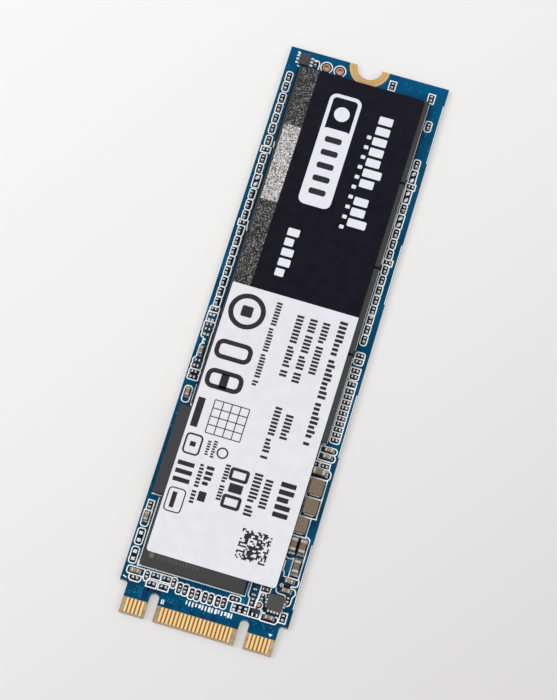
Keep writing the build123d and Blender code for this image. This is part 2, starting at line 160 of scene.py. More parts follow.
# Strokes of ink that follow no single part, as places on the board: outlines of the big chips that show
# beside them, the ticks at their corners, and lines between the groups of small parts
board_strokes = (
    ((-9.38, -24.6), (-9.38, -33.1)), ((-9.46, -33.0), (-9.46, -33.66), (-9.1, -33.66), (4.72, -33.66)),
    ((-10.5, -24.36), (-9.1, -24.36)), ((-9.28, 26.1), (-9.22, 25.2)), ((-9.3, 13.4), (-9.2, 12.9)),
    ((-9.55, 37.55), (-9.22, 37.44)), ((-7.5, 38.85), (-7.05, 38.98), (-6.74, 38.76), (-6.68, 38.5),
    (-6.68, 37.7)), ((-10.75, -35.45), (-10.25, -35.62)), ((-5.12, -37.0), (-5.12, -37.6)), ((-4.88, -37.0),
    (-4.88, -37.6)), ((8.4, -11.85), (8.9, -11.85), (8.9, -11.7)), ((5.0, -31.7), (5.0, -33.35),
    (5.1, -33.52), (5.33, -33.68), (5.33, -34.72)), ((6.3, -31.7), (6.3, -33.6)), ((6.3, -32.5),
    (7.38, -32.5), (7.55, -32.34), (7.55, -31.7)), ((6.42, -33.6), (6.42, -32.74), (6.55, -32.58),
    (7.03, -32.58), (7.2, -32.74), (7.2, -33.08)), ((7.15, -34.65), (7.35, -34.95)), ((9.05, -35.08),
    (9.33, -35.12), (9.47, -35.34), (9.47, -35.66), (9.25, -36.03), (7.28, -36.03), (7.32, -35.05)),
    ((9.86, -24.36), (9.9, -24.2), (10.15, -24.22), (10.48, -24.47), (10.48, -29.72), (10.65, -30.0),
    (10.67, -30.5), (10.45, -30.78), (9.92, -30.78), (9.86, -30.93), (9.92, -31.07), (10.38, -31.1),
    (10.62, -31.32), (10.66, -31.65), (10.6, -31.9), (10.41, -32.12), (10.39, -32.45), (10.38, -33.05),
    (10.25, -33.3), (9.95, -33.4)), ((8.5, -29.8), (10.45, -29.8)), ((8.15, -27.28), (8.35, -27.42),
    (8.95, -27.42), (9.17, -27.2), (9.17, -29.8)), ((8.28, -27.75), (8.28, -29.17), (8.48, -29.2),
    (8.55, -29.32), (8.55, -29.72), (8.64, -29.8)), ((8.17, -31.45), (8.15, -31.6), (8.22, -31.92),
    (8.5, -32.1), (9.35, -32.1), (9.54, -32.2), (9.57, -32.7)),
)

# Closed strokes with a wide window inside
closed_strokes = (
    ((-10.69, -0.42), (-9.4, -0.42), (-9.38, 0.93), (-10.7, 0.93)), ((-10.68, -0.44), (-10.79, -0.7),
    (-10.79, -1.1), (-10.72, -1.25), (-10.79, -1.45), (-10.79, -1.75), (-10.69, -1.9), (-10.69, -2.5),
    (-10.6, -2.65), (-10.38, -2.68), (-10.27, -2.8), (-10.27, -3.55), (-10.44, -3.75), (-10.46, -5.45),
    (-10.7, -5.65), (-10.76, -5.9), (-10.69, -6.28), (-10.76, -6.5), (-10.76, -6.8), (-10.68, -7.02),
    (-10.55, -7.12), (-9.55, -7.12), (-9.41, -7.02), (-9.33, -6.75), (-9.33, -6.45), (-9.38, -6.28),
    (-9.33, -6.05), (-9.33, -5.75), (-9.4, -5.5), (-9.38, -4.5), (-9.4, -3.0), (-9.4, -2.1), (-9.44, -1.9),
    (-9.34, -1.7), (-9.34, -1.45), (-9.42, -1.25), (-9.35, -1.05), (-9.35, -0.7), (-9.43, -0.44)),
)

# Windows of their own: left, low, right and high side. The first ones are black, land windows and painted
# shade beside and between tall parts; the others deep blue
black_windows_and_painted_shade = (
    (-7.5, 37.74, -6.8, 38.84), (8.2, -26.9, 10.38, -24.46), (9.27, -29.7, 10.38, -27.3),
    (8.95, -31.12, 9.76, -30.76), (9.66, -33.3, 10.3, -32.18), (6.4, -32.4, 7.46, -31.66),
    (6.52, -33.6, 7.1, -32.68), (5.43, -34.62, 6.12, -33.62), (7.26, -34.92, 9.56, -32.22),
    (7.42, -35.93, 9.36, -35.02), (-9.3, -33.55, -9.08, -24.7), (8.6, -31.04, 8.76, -30.88),
)
teal_boxes = (
    (8.2, -27.3, 10.38, -26.94), (8.3, -30.68, 10.5, -29.9), (8.32, -32.0, 10.5, -31.18),
    (5.1, -33.5, 6.2, -31.75), (-9.66, -33.55, -9.46, -25.0),
)
copper_box = (8.4, -29.15, 9.05, -27.58)
thin_strokes = (
    ((4.7, -31.7), (4.7, -33.6)), ((-9.28, -9.0), (-9.28, -11.6)), ((9.035, 37.1), (9.035, 26.0)),
    ((9.035, 24.7), (9.035, 13.6)), ((9.035, 12.6), (9.035, 1.2)), ((9.035, 0.2), (9.035, -11.7)),
)
edge_dashes = ((37.5, 28.9), (16.9, 8.35), (-4.5, -13.1), (-25.0, -33.6))
edge_dash_inset = 0.085
edge_dash_width = 0.1
wide_stroke_width = 0.25
wide_strokes = (
    ((-9.42, -33.02), (-9.36, -33.8)), ((-9.15, -11.65), (-9.15, -11.95)), ((-9.8, 39.45), (-9.55, 39.25)),
    ((9.2, -3.79), (10.4, -3.79)), ((7.2, -34.98), (7.72, -35.02)), ((6.26, -33.55), (6.26, -34.7)),
)
# Widths of the black strips of painted shade beside the flash chips
chip_shade_left = 0.3
chip_shade_right = 0.2
pin_dot = (-9.78, 39.42, 0.17)
pin_tick = (9.12, -37.3, 0.28, 0.36)
small_ring = (8.68, -30.96, 0.18, 0.14)
point_window = (0.32, 0.18)
point_ring = (0.47, 0.13)
hole_ring_radius = 0.79
hole_land_radius = 0.55
hole_ring_shift = Vector((0.02, -0.08, 0))
hole_ring_span = (-48, 228, 26)
lettering_left_x = -2.2
lettering_right_x = 4.2
lettering_low_y = -36.88
lettering_high_y = -36.25
lettering_pitch = 0.42
lettering_rise = 0.14
lettering_gaps = 0.12
lettering_widths = (0.45, 0.7)
block_corner = 0.05

# Relief under the mask: fields without copper, areas of plated vias with their count and seed, and
# rows of short traces with the step between them and their count
deep_fields = (
    (-9.6, -36.95, -8.35, -36.05), (-7.7, -37.85, -7.05, -36.1), (-7.3, -36.5, -5.5, -36.05),
    (-4.7, -37.85, -3.6, -37.15), (-3.0, -37.85, -2.55, -36.95), (-1.45, -37.85, -0.8, -37.0),
    (0.0, -37.85, 0.62, -37.0), (1.4, -37.85, 2.05, -37.0), (7.55, -36.9, 9.3, -36.35),
    (-3.7, -34.4, -2.9, -33.95),
)
field_corner = 0.18
field_proud = 0.003
via_radius = 0.11
via_proud = 0.006
via_crown = 0.6
via_areas = (
    ((3.9, 38.0), (8.3, 39.6), 5, 61),
    ((9.3, 29.4), (10.7, 37.0), 16, 62),
    ((-10.7, 36.7), (-8.9, 37.4), 4, 63),
    ((6.5, -37.7), (9.9, -36.3), 9, 64),
    ((-5.4, -37.7), (4.8, -36.0), 14, 65),
    ((-9.9, -37.7), (-7.8, -37.0), 5, 66),
    ((-10.8, -24.0), (-10.55, -12.5), 5, 67),
)
dash_length = 0.26
dash_width = 0.07
dash_rows = (
    ((-9.45, -36.25), (0.36, 0.0), 5), ((-9.55, -36.6), (0.36, 0.0), 5), ((-9.45, -36.92), (0.36, 0.0), 5),
    ((-3.4, -34.05), (0.62, 0.0), 10), ((-3.1, -34.3), (0.62, 0.0), 9), ((-5.4, -36.35), (0.75, -0.1), 2),
    ((-4.45, -36.65), (0.55, 0.02), 3), ((-4.5, -36.95), (0.55, 0.02), 2), ((-3.1, -36.2), (0.2, 0.0), 4),
    ((7.65, -36.5), (0.42, 0.02), 4), ((4.55, -34.1), (0.12, -0.25), 2),
)

# Solder: how far a joint reaches past a terminal, to its sides, and up its height
solder_reach_share = 0.5
solder_side_share = 0.1
solder_side_least = 0.004
solder_rise_share = 0.62
collar_corner = 0.03
collar_steps = ((1.0, 0.0), (0.42, 0.3), (0.12, 0.72), (0.0, 1.0))
toe_steps = ((1.0, 0.0), (0.62, 0.55), (0.15, 1.0))
dome_steps = (0.0, 0.35, 0.65, 0.88, 1.0)
dome_inset_share = 0.42
solder_dome = 0.07
land_reach = 0.48
tall_land_near = 0.16
tall_land_far = 0.78
tall_land_half = 0.25
tall_land_cut = 0.24
toe_nodes = (
    ("power_chip", "power_chip_terminals", 0.14),
    ("temperature_sensor", "temperature_sensor_leads", 0.12),
)
toe_side = 0.035
toe_rise = 0.09
power_toe_rise = 0.3
power_toe_drop = 0.8

# Marking on the memory chip
marking_left = 1.9
marking_right = 7.3
marking_foot = 1.15
marking_head = 1.65
marking_block = 0.26
marking_pitch = 0.46
dot_inset = 1.12
dot_rise = 1.42
dot_radius = 0.36

# Balls under the big chips, by their pitch
ball_pitches = {"flash_chip_1": 1.0, "flash_chip_2": 1.0, "flash_chip_3": 1.0, "flash_chip_4": 1.0,
                "controller_chip": 0.8, "buffer_memory_chip": 0.8}
ball_margin = 1.2
ball_radius = 0.26
ball_rows = 6
ball_turns = 10
ball_waist = 0.75

# Label film: its turn, thickness below the top face, and the fields printed on it
label_turn = -0.2
label_proud = 0.013
label_corner = 0.45
label_corner_steps = 6
ink_layer = 0.006
band_right_x = -6.42
band_silver_head_y = 28.5
band_silver_foot_y = 17.45
white_head_y = 5.32

# Print on the label, in plain shapes: a panel on the dark field
panel_sides = (-3.75, 18.6, 0.15, 34.4)
panel_frame_width = 0.5
panel_corner = 0.75
panel_window_y = 29.6
panel_window_corner = 0.9
panel_window_layer = 1.4
panel_disc = (-1.8, 31.9, 1.05)
panel_bar_places = (28.0, 26.1, 24.2, 22.3, 20.4)
panel_bar_half = 0.42
panel_bar_left = 0.75
panel_bar_right = 0.85
panel_bar_corner = 0.28
panel_bar_layer = 2
small_block_x = 2.28
small_block_width = 0.6
small_block_height = 0.52
small_block_head_y = 30.1
small_block_foot_y = 16.6
small_block_pitch = 1.46
small_block_corner = 0.12

# How blocks stand in for words: blocks in a word, the gap after it, a short block, and the corners
word_blocks = (4, 9)
word_gap = 0.7
short_block_cut = 0.24
word_block_corner = 0.1

# Lines of blocks on the dark field: left, right, head, foot, pitch, seed, the share of tall blocks and
# of ink in a pitch. And on the pale field: left, right, head, foot, pitch, and the share of tall blocks
pale_lines = ((3.15, 5.65, 33.2, 16.4, 1.55, 11, 0.35, 0.74), (-3.95, -2.35, 14.6, 7.4, 1.45, 12, 0.5, 0.74))
print_lines = (
    (6.15, 7.2, 4.2, -13.3, 0.62, 0.4), (4.1, 5.05, 3.4, -3.9, 0.5, 0.9), (2.35, 3.35, 3.4, -5.7, 0.5, 0.9),
    (0.6, 1.55, 3.4, -5.5, 0.5, 0.95), (-2.4, -1.65, 4.3, -7.7, 0.42, 0.8),
    (3.05, 4.05, -9.8, -13.4, 0.5, 0.95), (1.45, 2.35, -9.2, -16.3, 0.5, 0.9),
    (5.05, 7.05, -18.4, -23.4, 1.0, 0.95), (3.05, 4.05, -18.7, -23.0, 0.5, 0.95),
    (1.5, 2.6, -18.3, -24.0, 0.5, 0.9), (-4.7, -4.2, -15.8, -18.4, 0.34, 0.9),
    (-5.45, -5.0, -16.0, -18.2, 0.34, 0.9), (-4.6, -3.6, -19.2, -22.0, 0.7, 0.9),
    (-5.5, -4.9, -19.2, -24.8, 0.46, 0.95), (-2.35, -1.7, -18.3, -23.1, 0.42, 0.95),
)

# Rings with their radius, width and steps, frames with their width and corner, bars with their corner
print_rings = ((-5.8, 1.9, 2.12, 0.66, 40), (-3.25, -17.1, 0.66, 0.2, 24))
print_frames = (
    (-8.05, -4.85, -3.7, -2.75, 0.62, 0.75), (-8.05, -8.95, -3.7, -6.85, 0.62, 0.75),
    (-8.25, -18.35, -6.2, -15.75, 0.24, 0.45), (-8.3, -26.2, -6.15, -23.1, 0.16, 0.45),
    (-1.4, -19.95, 0.7, -18.6, 0.42, 0.2), (-1.4, -23.6, 0.7, -22.2, 0.42, 0.2),
)
print_bars = (
    (-6.55, 1.15, -5.05, 2.65, 0.2), (-8.35, -14.8, -7.4, -10.8, 0.08), (-7.6, -17.35, -6.85, -16.7, 0.08),
    (-8.35, -20.05, -6.15, -19.45, 0.08), (-8.35, -21.15, -6.15, -20.55, 0.08),
    (-8.35, -22.25, -6.15, -21.65, 0.08), (-7.75, -25.7, -7.15, -23.6, 0.08),
    (-4.6, -23.9, -3.6, -22.6, 0.08), (-1.2, -21.65, 0.6, -20.45, 0.08), (-6.4, -9.0, -5.35, -7.0, 0.08),
)
grid_sides = (-6.2, -15.1, -1.6, -10.6)
grid_count = 4
grid_line = 0.13
grid_layer = 1.2
mosaic_sides = (2.1, -29.5, 6.05, -25.6)
mosaic_count = 18
mosaic_share = 0.58

# Colours as they look in the photograph, 0 to 255. Solder mask: at the foot, and at the head of the card
mask_blend = (31.0, 37.5)
resin_shades = ((10, 50, 84), (14, 56, 90), (10, 62, 98))
mask_shades = (
    ("mask_blue", ((0, 60, 86), (2, 74, 108), (6, 86, 124)), ((0, 68, 104), (0, 82, 123), (0, 91, 136))),
    ("mask_over_copper", ((10, 92, 128), (30, 112, 148), (76, 150, 180)),
     ((0, 92, 140), (20, 116, 164), (50, 132, 176))),
    ("mask_over_resin", resin_shades, resin_shades),
)
laminate_stops = ((0.3, (144, 126, 98)), (0.5, (168, 149, 118)), (0.72, (188, 170, 140)))
# Resin between the fingers, painted darker than the laminate as shade
gap_shade_stops = ((0.3, (112, 74, 30)), (0.7, (146, 100, 46)))
# Gold across one finger, with painted shade on both its sides
finger_edge_shade_stops = ((0.17, (150, 104, 44)), (0.24, (250, 204, 132)), (0.5, (255, 218, 152)),
                (0.76, (250, 204, 132)), (0.83, (150, 104, 44)))
ring_stops = ((0.62, (170, 140, 98)), (0.67, (212, 176, 122)), (0.76, (228, 184, 116)),
              (0.84, (216, 172, 102)), (0.92, (230, 184, 114)), (0.98, (238, 198, 136)))

# Copper, tin and solder with a mottled skin: two shades, metallic, roughness, grain and relief
metals = {
    "bare_copper_skin": ((212, 152, 124), (244, 190, 160), 0.25, 0.45, 3.0, 0.003),
    "hole_copper_skin": ((168, 118, 96), (214, 160, 134), 0.2, 0.42, 3.5, 0.003),
    "tin_plate": ((226, 225, 222), (254, 253, 251), 0.15, 0.42, 6.0, 0.003),
    "land_tin": ((206, 210, 214), (255, 255, 255), 0.1, 0.36, 2.2, 0.004),
    "capacitor_tin": ((168, 165, 152), (204, 200, 188), 0.25, 0.46, 5.0, 0.003),
    "solder_skin": ((140, 142, 146), (206, 208, 210), 0.9, 0.24, 3.0, 0.004),
    "crystal_can_skin": ((180, 178, 170), (214, 212, 204), 0.8, 0.32, 4.0, 0.003),
}

# Moulded, sintered or printed matter in a fine grain: two shades, grain, relief, roughness and specular
grains = {
    "mould_compound_skin": ((50, 50, 51), (64, 64, 64), 9.0, 0.006, 0.6, 0.3),
    "small_chip_skin": ((54, 49, 51), (82, 76, 77), 4.5, 0.004, 0.6, 0.3),
    "laser_marking": ((70, 69, 69), (82, 80, 79), 9.0, 0.004, 0.6, 0.3),
    "laser_disc": ((94, 91, 83), (108, 104, 95), 9.0, 0.004, 0.6, 0.3),
    "power_chip_skin": ((64, 63, 64), (78, 77, 77), 12.0, 0.004, 0.6, 0.3),
    "load_switch_skin": ((42, 39, 45), (58, 54, 60), 9.0, 0.004, 0.6, 0.3),
    "ceramic_brown_skin": ((134, 113, 84), (166, 134, 94), 0.5, 0.002, 0.5, 0.35),
    "ceramic_grey_skin": ((108, 93, 76), (126, 110, 92), 5.0, 0.003, 0.5, 0.35),
    "ceramic_dark_skin": ((46, 40, 38), (74, 62, 54), 8.0, 0.003, 0.5, 0.35),
    "resistor_glaze": ((16, 16, 20), (30, 30, 34), 8.0, 0.002, 0.35, 0.35),
    "ferrite_skin": ((104, 91, 76), (128, 113, 96), 5.0, 0.008, 0.66, 0.35),
    "board_ink": ((238, 243, 245), (253, 255, 255), 7.0, 0.004, 0.6, 0.3),
    "land_window": ((8, 16, 30), (20, 30, 46), 4.0, 0.004, 0.3, 0.25),
    "wide_land_window": ((8, 44, 58), (16, 66, 86), 1.6, 0.004, 0.3, 0.2),
    "film_white": ((225, 225, 230), (231, 231, 236), 0.8, 0.002, 0.5, 0.3),
    "film_navy": ((22, 21, 31), (27, 26, 36), 0.8, 0.002, 0.24, 0.15),
    "film_ink": ((38, 34, 40), (48, 44, 50), 3.0, 0.002, 0.4, 0.3),
    "film_pale": ((226, 228, 234), (234, 236, 241), 3.0, 0.002, 0.5, 0.3),
}

# Tin on bent leads, bright only on their feet and painted dark elsewhere as the chip's shade, along an axis
# of the card
painted_lead_shade, lead_bright = (52, 50, 54), (252, 251, 249)
leads_with_painted_shade = (
    ("switch_lead_tin_painted_shade", "Y", (-36.0, -35.0),
     ((0.2, painted_lead_shade), (0.3, lead_bright), (0.56, lead_bright), (0.68, painted_lead_shade))),
    ("sensor_lead_tin_painted_shade", "Z", (0.92, 1.08), ((0.0, lead_bright), (0.45, lead_bright), (1.0, (96, 88, 84)))),
)

# Bands of tiny foil flakes, each with its own shade
foil_grain = 9.8
foil_stretch = (1, 1, 0.2)
foil_shades = (
    ("foil_dark", 0.4, ((0.32, (6, 6, 8)), (0.62, (34, 34, 34)), (0.9, (168, 168, 166)))),
    ("foil_silver", 0.45, ((0.2, (26, 25, 22)), (0.48, (164, 162, 158)), (0.76, (240, 239, 236)))),
)

# What each node of the card wears, and how far the sharp edges of small parts are rounded
dressing = {
    "laminate_resin": "laminate_core",
    "mask_blue": "solder_mask_top solder_mask_bottom",
    "gold_fingers": "contact_fingers_top contact_fingers_bottom",
    "gold_ring": "screw_notch_ring",
    "bare_copper_skin": "round_test_point",
    "hole_copper_skin": "plated_test_holes",
    "land_tin": "bare_solder_lands",
    "mould_compound_skin": "controller_chip buffer_memory_chip flash_chip_1 flash_chip_2 flash_chip_3"
                           " flash_chip_4",
    "load_switch_skin": "load_switch",
    "small_chip_skin": "temperature_sensor",
    "power_chip_skin": "power_chip",
    "switch_lead_tin_painted_shade": "load_switch_leads",
    "sensor_lead_tin_painted_shade": "temperature_sensor_leads",
    "tin_plate": "power_chip_terminals inductor_end_plates small_capacitor_ends resistor_ends",
    "capacitor_tin": "medium_capacitor_ends large_capacitor_ends",
    "ceramic_dark_skin": "small_capacitor_bodies",
    "ceramic_brown_skin": "medium_capacitor_bodies",
    "ceramic_grey_skin": "large_capacitor_bodies",
    "resistor_glaze": "resistor_bodies",
    "ferrite_skin": "power_inductor_1 power_inductor_2 power_inductor_3",
    "crystal_can_skin": "clock_crystal",
}
softened = {
    "small_capacitor_ends": 0.03,
    "resistor_ends": 0.03,
    "medium_capacitor_ends": 0.05,
    "large_capacitor_ends": 0.07,
}


def srgb(red, green, blue):
    """A colour of the photograph, 0 to 255, as the linear colour of a shader."""
    made = []
    for value in (red, green, blue):
        share = value / 255
        made.append(share / 12.92 if share <= 0.04045 else ((share + 0.055) / 1.055) ** 2.4)
    return (*made, 1.0)


# Reading the frame

def node_box(*names):
    """Lowest and highest corner of one or more nodes, in millimetres."""
    lows, highs = zip(*(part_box(name) for name in names))
    low = Vector([min(corner[i] for corner in lows) for i in range(3)])
    high = Vector([max(corner[i] for corner in highs) for i in range(3)])
    return low / MM, high / MM


def islands(node):
    """The box of each separate solid of a node, from head to foot and left to right."""
    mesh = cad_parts[node].data
    numbers = {}
    weld = [numbers.setdefault(tuple(round(c / MM, 3) for c in v.co), len(numbers))
            for v in mesh.vertices]
    leader = list(range(len(numbers)))

    def find(item):
        while leader[item] != item:
            leader[item] = leader[leader[item]]
            item = leader[item]
        return item

    for face in mesh.polygons:
        first = find(weld[face.vertices[0]])
        for corner in face.vertices:
            leader[find(weld[corner])] = first
    boxes = {}
    for vertex in mesh.vertices:
        place = vertex.co / MM
        low, high = boxes.setdefault(find(weld[vertex.index]), (place.copy(), place.copy()))
        for i in range(3):
            low[i] = min(low[i], place[i])
            high[i] = max(high[i], place[i])
    return sorted(boxes.values(), key=lambda box: (-round(box[0].y, 2), round(box[0].x, 2)))


def middle(box):
    return (box[0] + box[1]) / 2


class Chip:
    """A two-ended part on the board: its middle, its ends, and how it lies."""

    def __init__(self, ends, kind):
        self.ends = ends
        self.kind = kind
        first, second = (middle(box) for box in ends)
        self.middle = (first + second) / 2
        self.level = abs(first.x - second.x) > abs(first.y - second.y)
        self.half_x, self.half_y = (
            (max(box[1][i] for box in ends) - min(box[0][i] for box in ends)) / 2 for i in range(2))
        self.ink_middle = self.middle.copy()
        for left, foot, right, head, dx, dy in ink_shifts:
            if left < self.middle.x < right and foot < self.middle.y < head:
                self.ink_middle += Vector((dx, dy, 0))

    def sides(self, left, down, right, up):
        """Left, low, right and high side of an outline that reaches so far from the part's middle."""
        x, y = self.ink_middle.x, self.ink_middle.y
        return (x - left, y - down, x + right, y + up)


def pair_up(boxes, kind):
    """Chips from the boxes of their ends, each with the nearest free one that faces its long side."""
    free = list(boxes)
    made = []
    while free:
        first = free.pop(0)
        size = first[1] - first[0]
        beside = 0 if size.x > size.y else 1
        second = min(free, key=lambda box: (middle(box) - middle(first)).length
                     + abs(middle(box)[beside] - middle(first)[beside]) * skew_cost)
        free.remove(second)
        made.append(Chip([first, second], kind))
    return made


def nearest(chips, x, y):
    return min(chips, key=lambda chip: math.hypot(chip.middle.x - x, chip.middle.y - y))


def from_head(chips):
    return sorted(chips, key=lambda chip: -chip.middle.y)


# Shells: closed solids collected in millimetres, then made into one mesh

def raised(outline, z):
    return [(x, y, z) for x, y in outline]


def add(name, data):
    """A new object in the scene."""
    made = bpy.data.objects.new(name, data)
    bpy.context.scene.collection.objects.link(made)
    return made


class Shells:
    def __init__(self):
        self.points = []
        self.faces = []

    def loft(self, rings):
        """Closed rings of equally many points, from the foot to the head, capped at both."""
        start = len(self.points)
        count = len(rings[0])
        for ring in rings:
            self.points.extend(ring)
        for level in range(len(rings) - 1):
            for i in range(count):
                a = start + level * count + i
                b = start + level * count + (i + 1) % count
                self.faces.append((a, b, b + count, a + count))
        last = start + (len(rings) - 1) * count
        self.faces.append(tuple(range(start + count - 1, start - 1, -1)))
        self.faces.append(tuple(range(last, last + count)))

    def prism(self, outline, low, high):
        self.loft([raised(outline, low), raised(outline, high)])

    def plate(self, outline, proud):
        """A prism that stands a little proud of the board."""
        self.prism(outline, board_top - sunk, board_top + proud)

    def box_plate(self, left, low, right, high, proud):
        self.plate(rounded(left, low, right, high, even(0)), proud)

    def ribbon(self, path, width, low, high, closed=False):
        """A flat stroke of one width along a path, mitred at its corners."""
        start = len(self.points)
        for left, right in offsets(path, width / 2, closed):
            self.points += [(*left, low), (*right, low), (*right, high), (*left, high)]
        count = len(path)
        for k in range(count if closed else count - 1):
            a = start + 4 * k
            b = start + 4 * ((k + 1) % count)
            for i in range(4):
                j = (i + 1) % 4
                self.faces.append((a + i, b + i, b + j, a + j))
        if not closed:
            last = start + 4 * (count - 1)
            self.faces.append((start, start + 1, start + 2, start + 3))
            self.faces.append((last + 3, last + 2, last + 1, last))

    def make(self, name, skin, slot=None, *nodes):
        """The mesh of all shells, riding on the card."""
        mesh = bpy.data.meshes.new(name)
        build = bmesh.new()
        corners = [build.verts.new(Vector(point) * MM) for point in self.points]
        for face in self.faces:
            build.faces.new([corners[i] for i in face])
        bmesh.ops.recalc_face_normals(build, faces=build.faces)
        build.to_mesh(mesh)
        build.free()
        settle(name, mesh, (skin,), slot, *nodes)


def settle(name, mesh, worn, slot=None, *nodes):
    """Puts a mesh on the card as a piece, with its materials and the nodes it stands for. The slot is not
    used.
    """
    for skin in worn:
        mesh.materials.append(skins[skin])
    piece = add(name, mesh)
    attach(piece, "root")
    if nodes:
        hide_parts(*nodes)


def cut_corners(path):
    """The path with a short chord across each of its inner corners."""
    points = [Vector(point) for point in path]
    made = [points[0]]
    for before, corner, after in zip(points, points[1:], points[2:]):
        for other in (before, after):
            share = min(corner_cut / (other - corner).length, corner_cut_share)
            made.append(corner.lerp(other, share))
    return made + [points[-1]]


def offsets(path, reach, closed):
    """The two sides of a stroke at each point of its path."""
    points = [Vector(point[:2]) for point in path]
    count = len(points)
    made = []
    for i, point in enumerate(points):
        runs = []
        if closed or i > 0:
            runs.append((point - points[i - 1]).normalized())
        if closed or i < count - 1:
            runs.append((points[(i + 1) % count] - point).normalized())
        sides = [Vector((-run.y, run.x)) for run in runs]
        side = sum(sides, Vector((0, 0))).normalized()
        side *= reach / max(side.dot(sides[0]), mitre_least)
        made.append((tuple(point + side), tuple(point - side)))
    return made


def arc(x, y, radius, start, end, steps):
    """Points on an arc, with its angles in degrees."""
    made = []
    for i in range(steps + 1):
        angle = math.radians(start + (end - start) * i / steps)
        made.append((x + radius * math.cos(angle), y + radius * math.sin(angle)))
    return made


def circle(x, y, radius, steps=28):
    return arc(x, y, radius, 0, 360, steps)[:-1]


def even(radius):
    return (radius, radius, radius, radius)


def rounded(left, low, right, high, radii, steps=corner_steps):
    """A rectangle with the radius of each corner, from the lower left one round anticlockwise."""
    spots = ((left, low, 1, 1, 180), (right, low, -1, 1, 270),
             (right, high, -1, -1, 0), (left, high, 1, -1, 90))
    made = []
    for (x, y, to_x, to_y, start), radius in zip(spots, radii):
        if radius <= 0:
            made.append((x, y))
        else:
            made += arc(x + to_x * radius, y + to_y * radius, radius, start, start + 90, steps)
    return made


# Materials, all procedural

skins = {}


def fill_ramp(node, stops):
    """Colours at positions from 0 to 1 on a ramp node."""
    band = node.color_ramp
    while len(band.elements) < len(stops):
        band.elements.new(1.0)
    for element, (position, colour) in zip(band.elements, stops):
        element.position = position
        element.color = colour


class Paint:
    """One material, kept by its name, and the short words that its nodes are made with."""

    def __init__(self, name, roughness=0.5, metallic=0.0, specular=0.5):
        self.material = skins[name] = bpy.data.materials.new(name)
        self.material.use_nodes = True
        self.tree = self.material.node_tree
        self.shader = self.tree.nodes["Principled BSDF"]
        self.shader.inputs["Roughness"].default_value = roughness
        self.shader.inputs["Metallic"].default_value = metallic
        self.shader.inputs["Specular IOR Level"].default_value = specular

    def link(self, source, target):
        self.tree.links.new(source, target)

    def node(self, kind, output, links=None, values=None, **settings):
        """The named output of a new node, whose inputs are linked or set."""
        made = self.tree.nodes.new("ShaderNode" + kind)
        for key, value in settings.items():
            setattr(made, key, value)
        for key, value in (values or {}).items():
            made.inputs[key].default_value = value
        for key, source in (links or {}).items():
            self.link(source, made.inputs[key])
        return made.outputs[output]

    def object_place(self):
        return self.node("TexCoord", "Object")

    def place(self, stretch=(1, 1, 1)):
        """Coordinates on the card in millimetres, stretched along the axes."""
        return self.node("Mapping", "Vector", {"Vector": self.object_place()},
                         {"Scale": [share / MM for share in stretch]})

    def noise(self, scale, detail=2.0, stretch=(1, 1, 1)):
        return self.node("TexNoise", "Fac", {"Vector": self.place(stretch)},
                         {"Scale": scale, "Detail": detail})

    def cells(self, scale, stretch):
        """A random grey for each small cell."""
        return self.node("TexVoronoi", "Color", {"Vector": self.place(stretch)}, {"Scale": scale})

    def ramp(self, source, *stops):
        """Colours at positions from 0 to 1 along a grey."""
        made = self.tree.nodes.new("ShaderNodeValToRGB")
        fill_ramp(made, [(position, srgb(*colour)) for position, colour in stops])
        self.link(source, made.inputs["Fac"])
        return made.outputs["Color"]

    def along(self, axis, low, high):
        """A grey from black to white between two places on an axis of the card."""
        where = self.node("SeparateXYZ", axis, {"Vector": self.place()})
        return self.node("MapRange", "Result", {"Value": where}, {"From Min": low, "From Max": high})

    def colour(self, output):
        self.link(output, self.shader.inputs["Base Color"])

    def rough(self, source, low, high):
        spread = self.node("MapRange", "Result", {"Value": source}, {"To Min": low, "To Max": high})
        self.link(spread, self.shader.inputs["Roughness"])

    def bump(self, source, height, strength=1.0):
        """Relief of a height in millimetres."""
        normal = self.node("Bump", "Normal", {"Height": source},
                           {"Distance": height * MM, "Strength": strength})
        self.link(normal, self.shader.inputs["Normal"])


def coat(name, shader, grain, stops, rough, relief_grain, relief):
    """A material with colours, roughness and relief that follow a noise each."""
    paint = Paint(name, *shader)
    paint.colour(paint.ramp(paint.noise(*grain), *stops))
    if rough:
        rough_grain, low, high = rough
        paint.rough(paint.noise(*rough_grain), low, high)
    paint.bump(paint.noise(*relief_grain), relief)


def mask_paint(name, foot, head):
    """Blue solder mask: gloss over copper, with a faint weave of the glass below, and bluer at its head."""
    paint = Paint(name, 0.2, specular=0.12)
    shades = [paint.ramp(paint.noise(0.22, 3.0), *zip((0.3, 0.52, 0.75), stops)) for stops in (foot, head)]
    share = paint.along("Y", *mask_blend)
    paint.colour(paint.node("Mix", 2, {0: share, 6: shades[0], 7: shades[1]}, data_type="RGBA"))
    paint.rough(paint.noise(2.0), 0.16, 0.24)
    paint.bump(paint.noise(1.6, 3.0), 0.004, 0.5)


def finger_paint(first_x, pitch):
    """Plated gold, brushed along the card, with painted shade on the sides of each finger, where its rounded
    edges turn from the light.
    """
    paint = Paint("gold_fingers", 0.4, 0.12, 0.6)
    x = paint.node("SeparateXYZ", "X", {"Vector": paint.object_place()})
    phase = paint.node("Math", "Value", {0: x}, {1: 1 / (pitch * MM), 2: 0.5 - first_x / pitch},
                       operation="MULTIPLY_ADD")
    paint.colour(paint.ramp(paint.node("Math", "Value", {0: phase}, operation="FRACT"), *finger_edge_shade_stops))
    paint.rough(paint.noise(7.0, 2.0), 0.34, 0.48)
    paint.bump(paint.noise(12.0, 2.0, (1.0, 0.2, 1.0)), 0.0015)


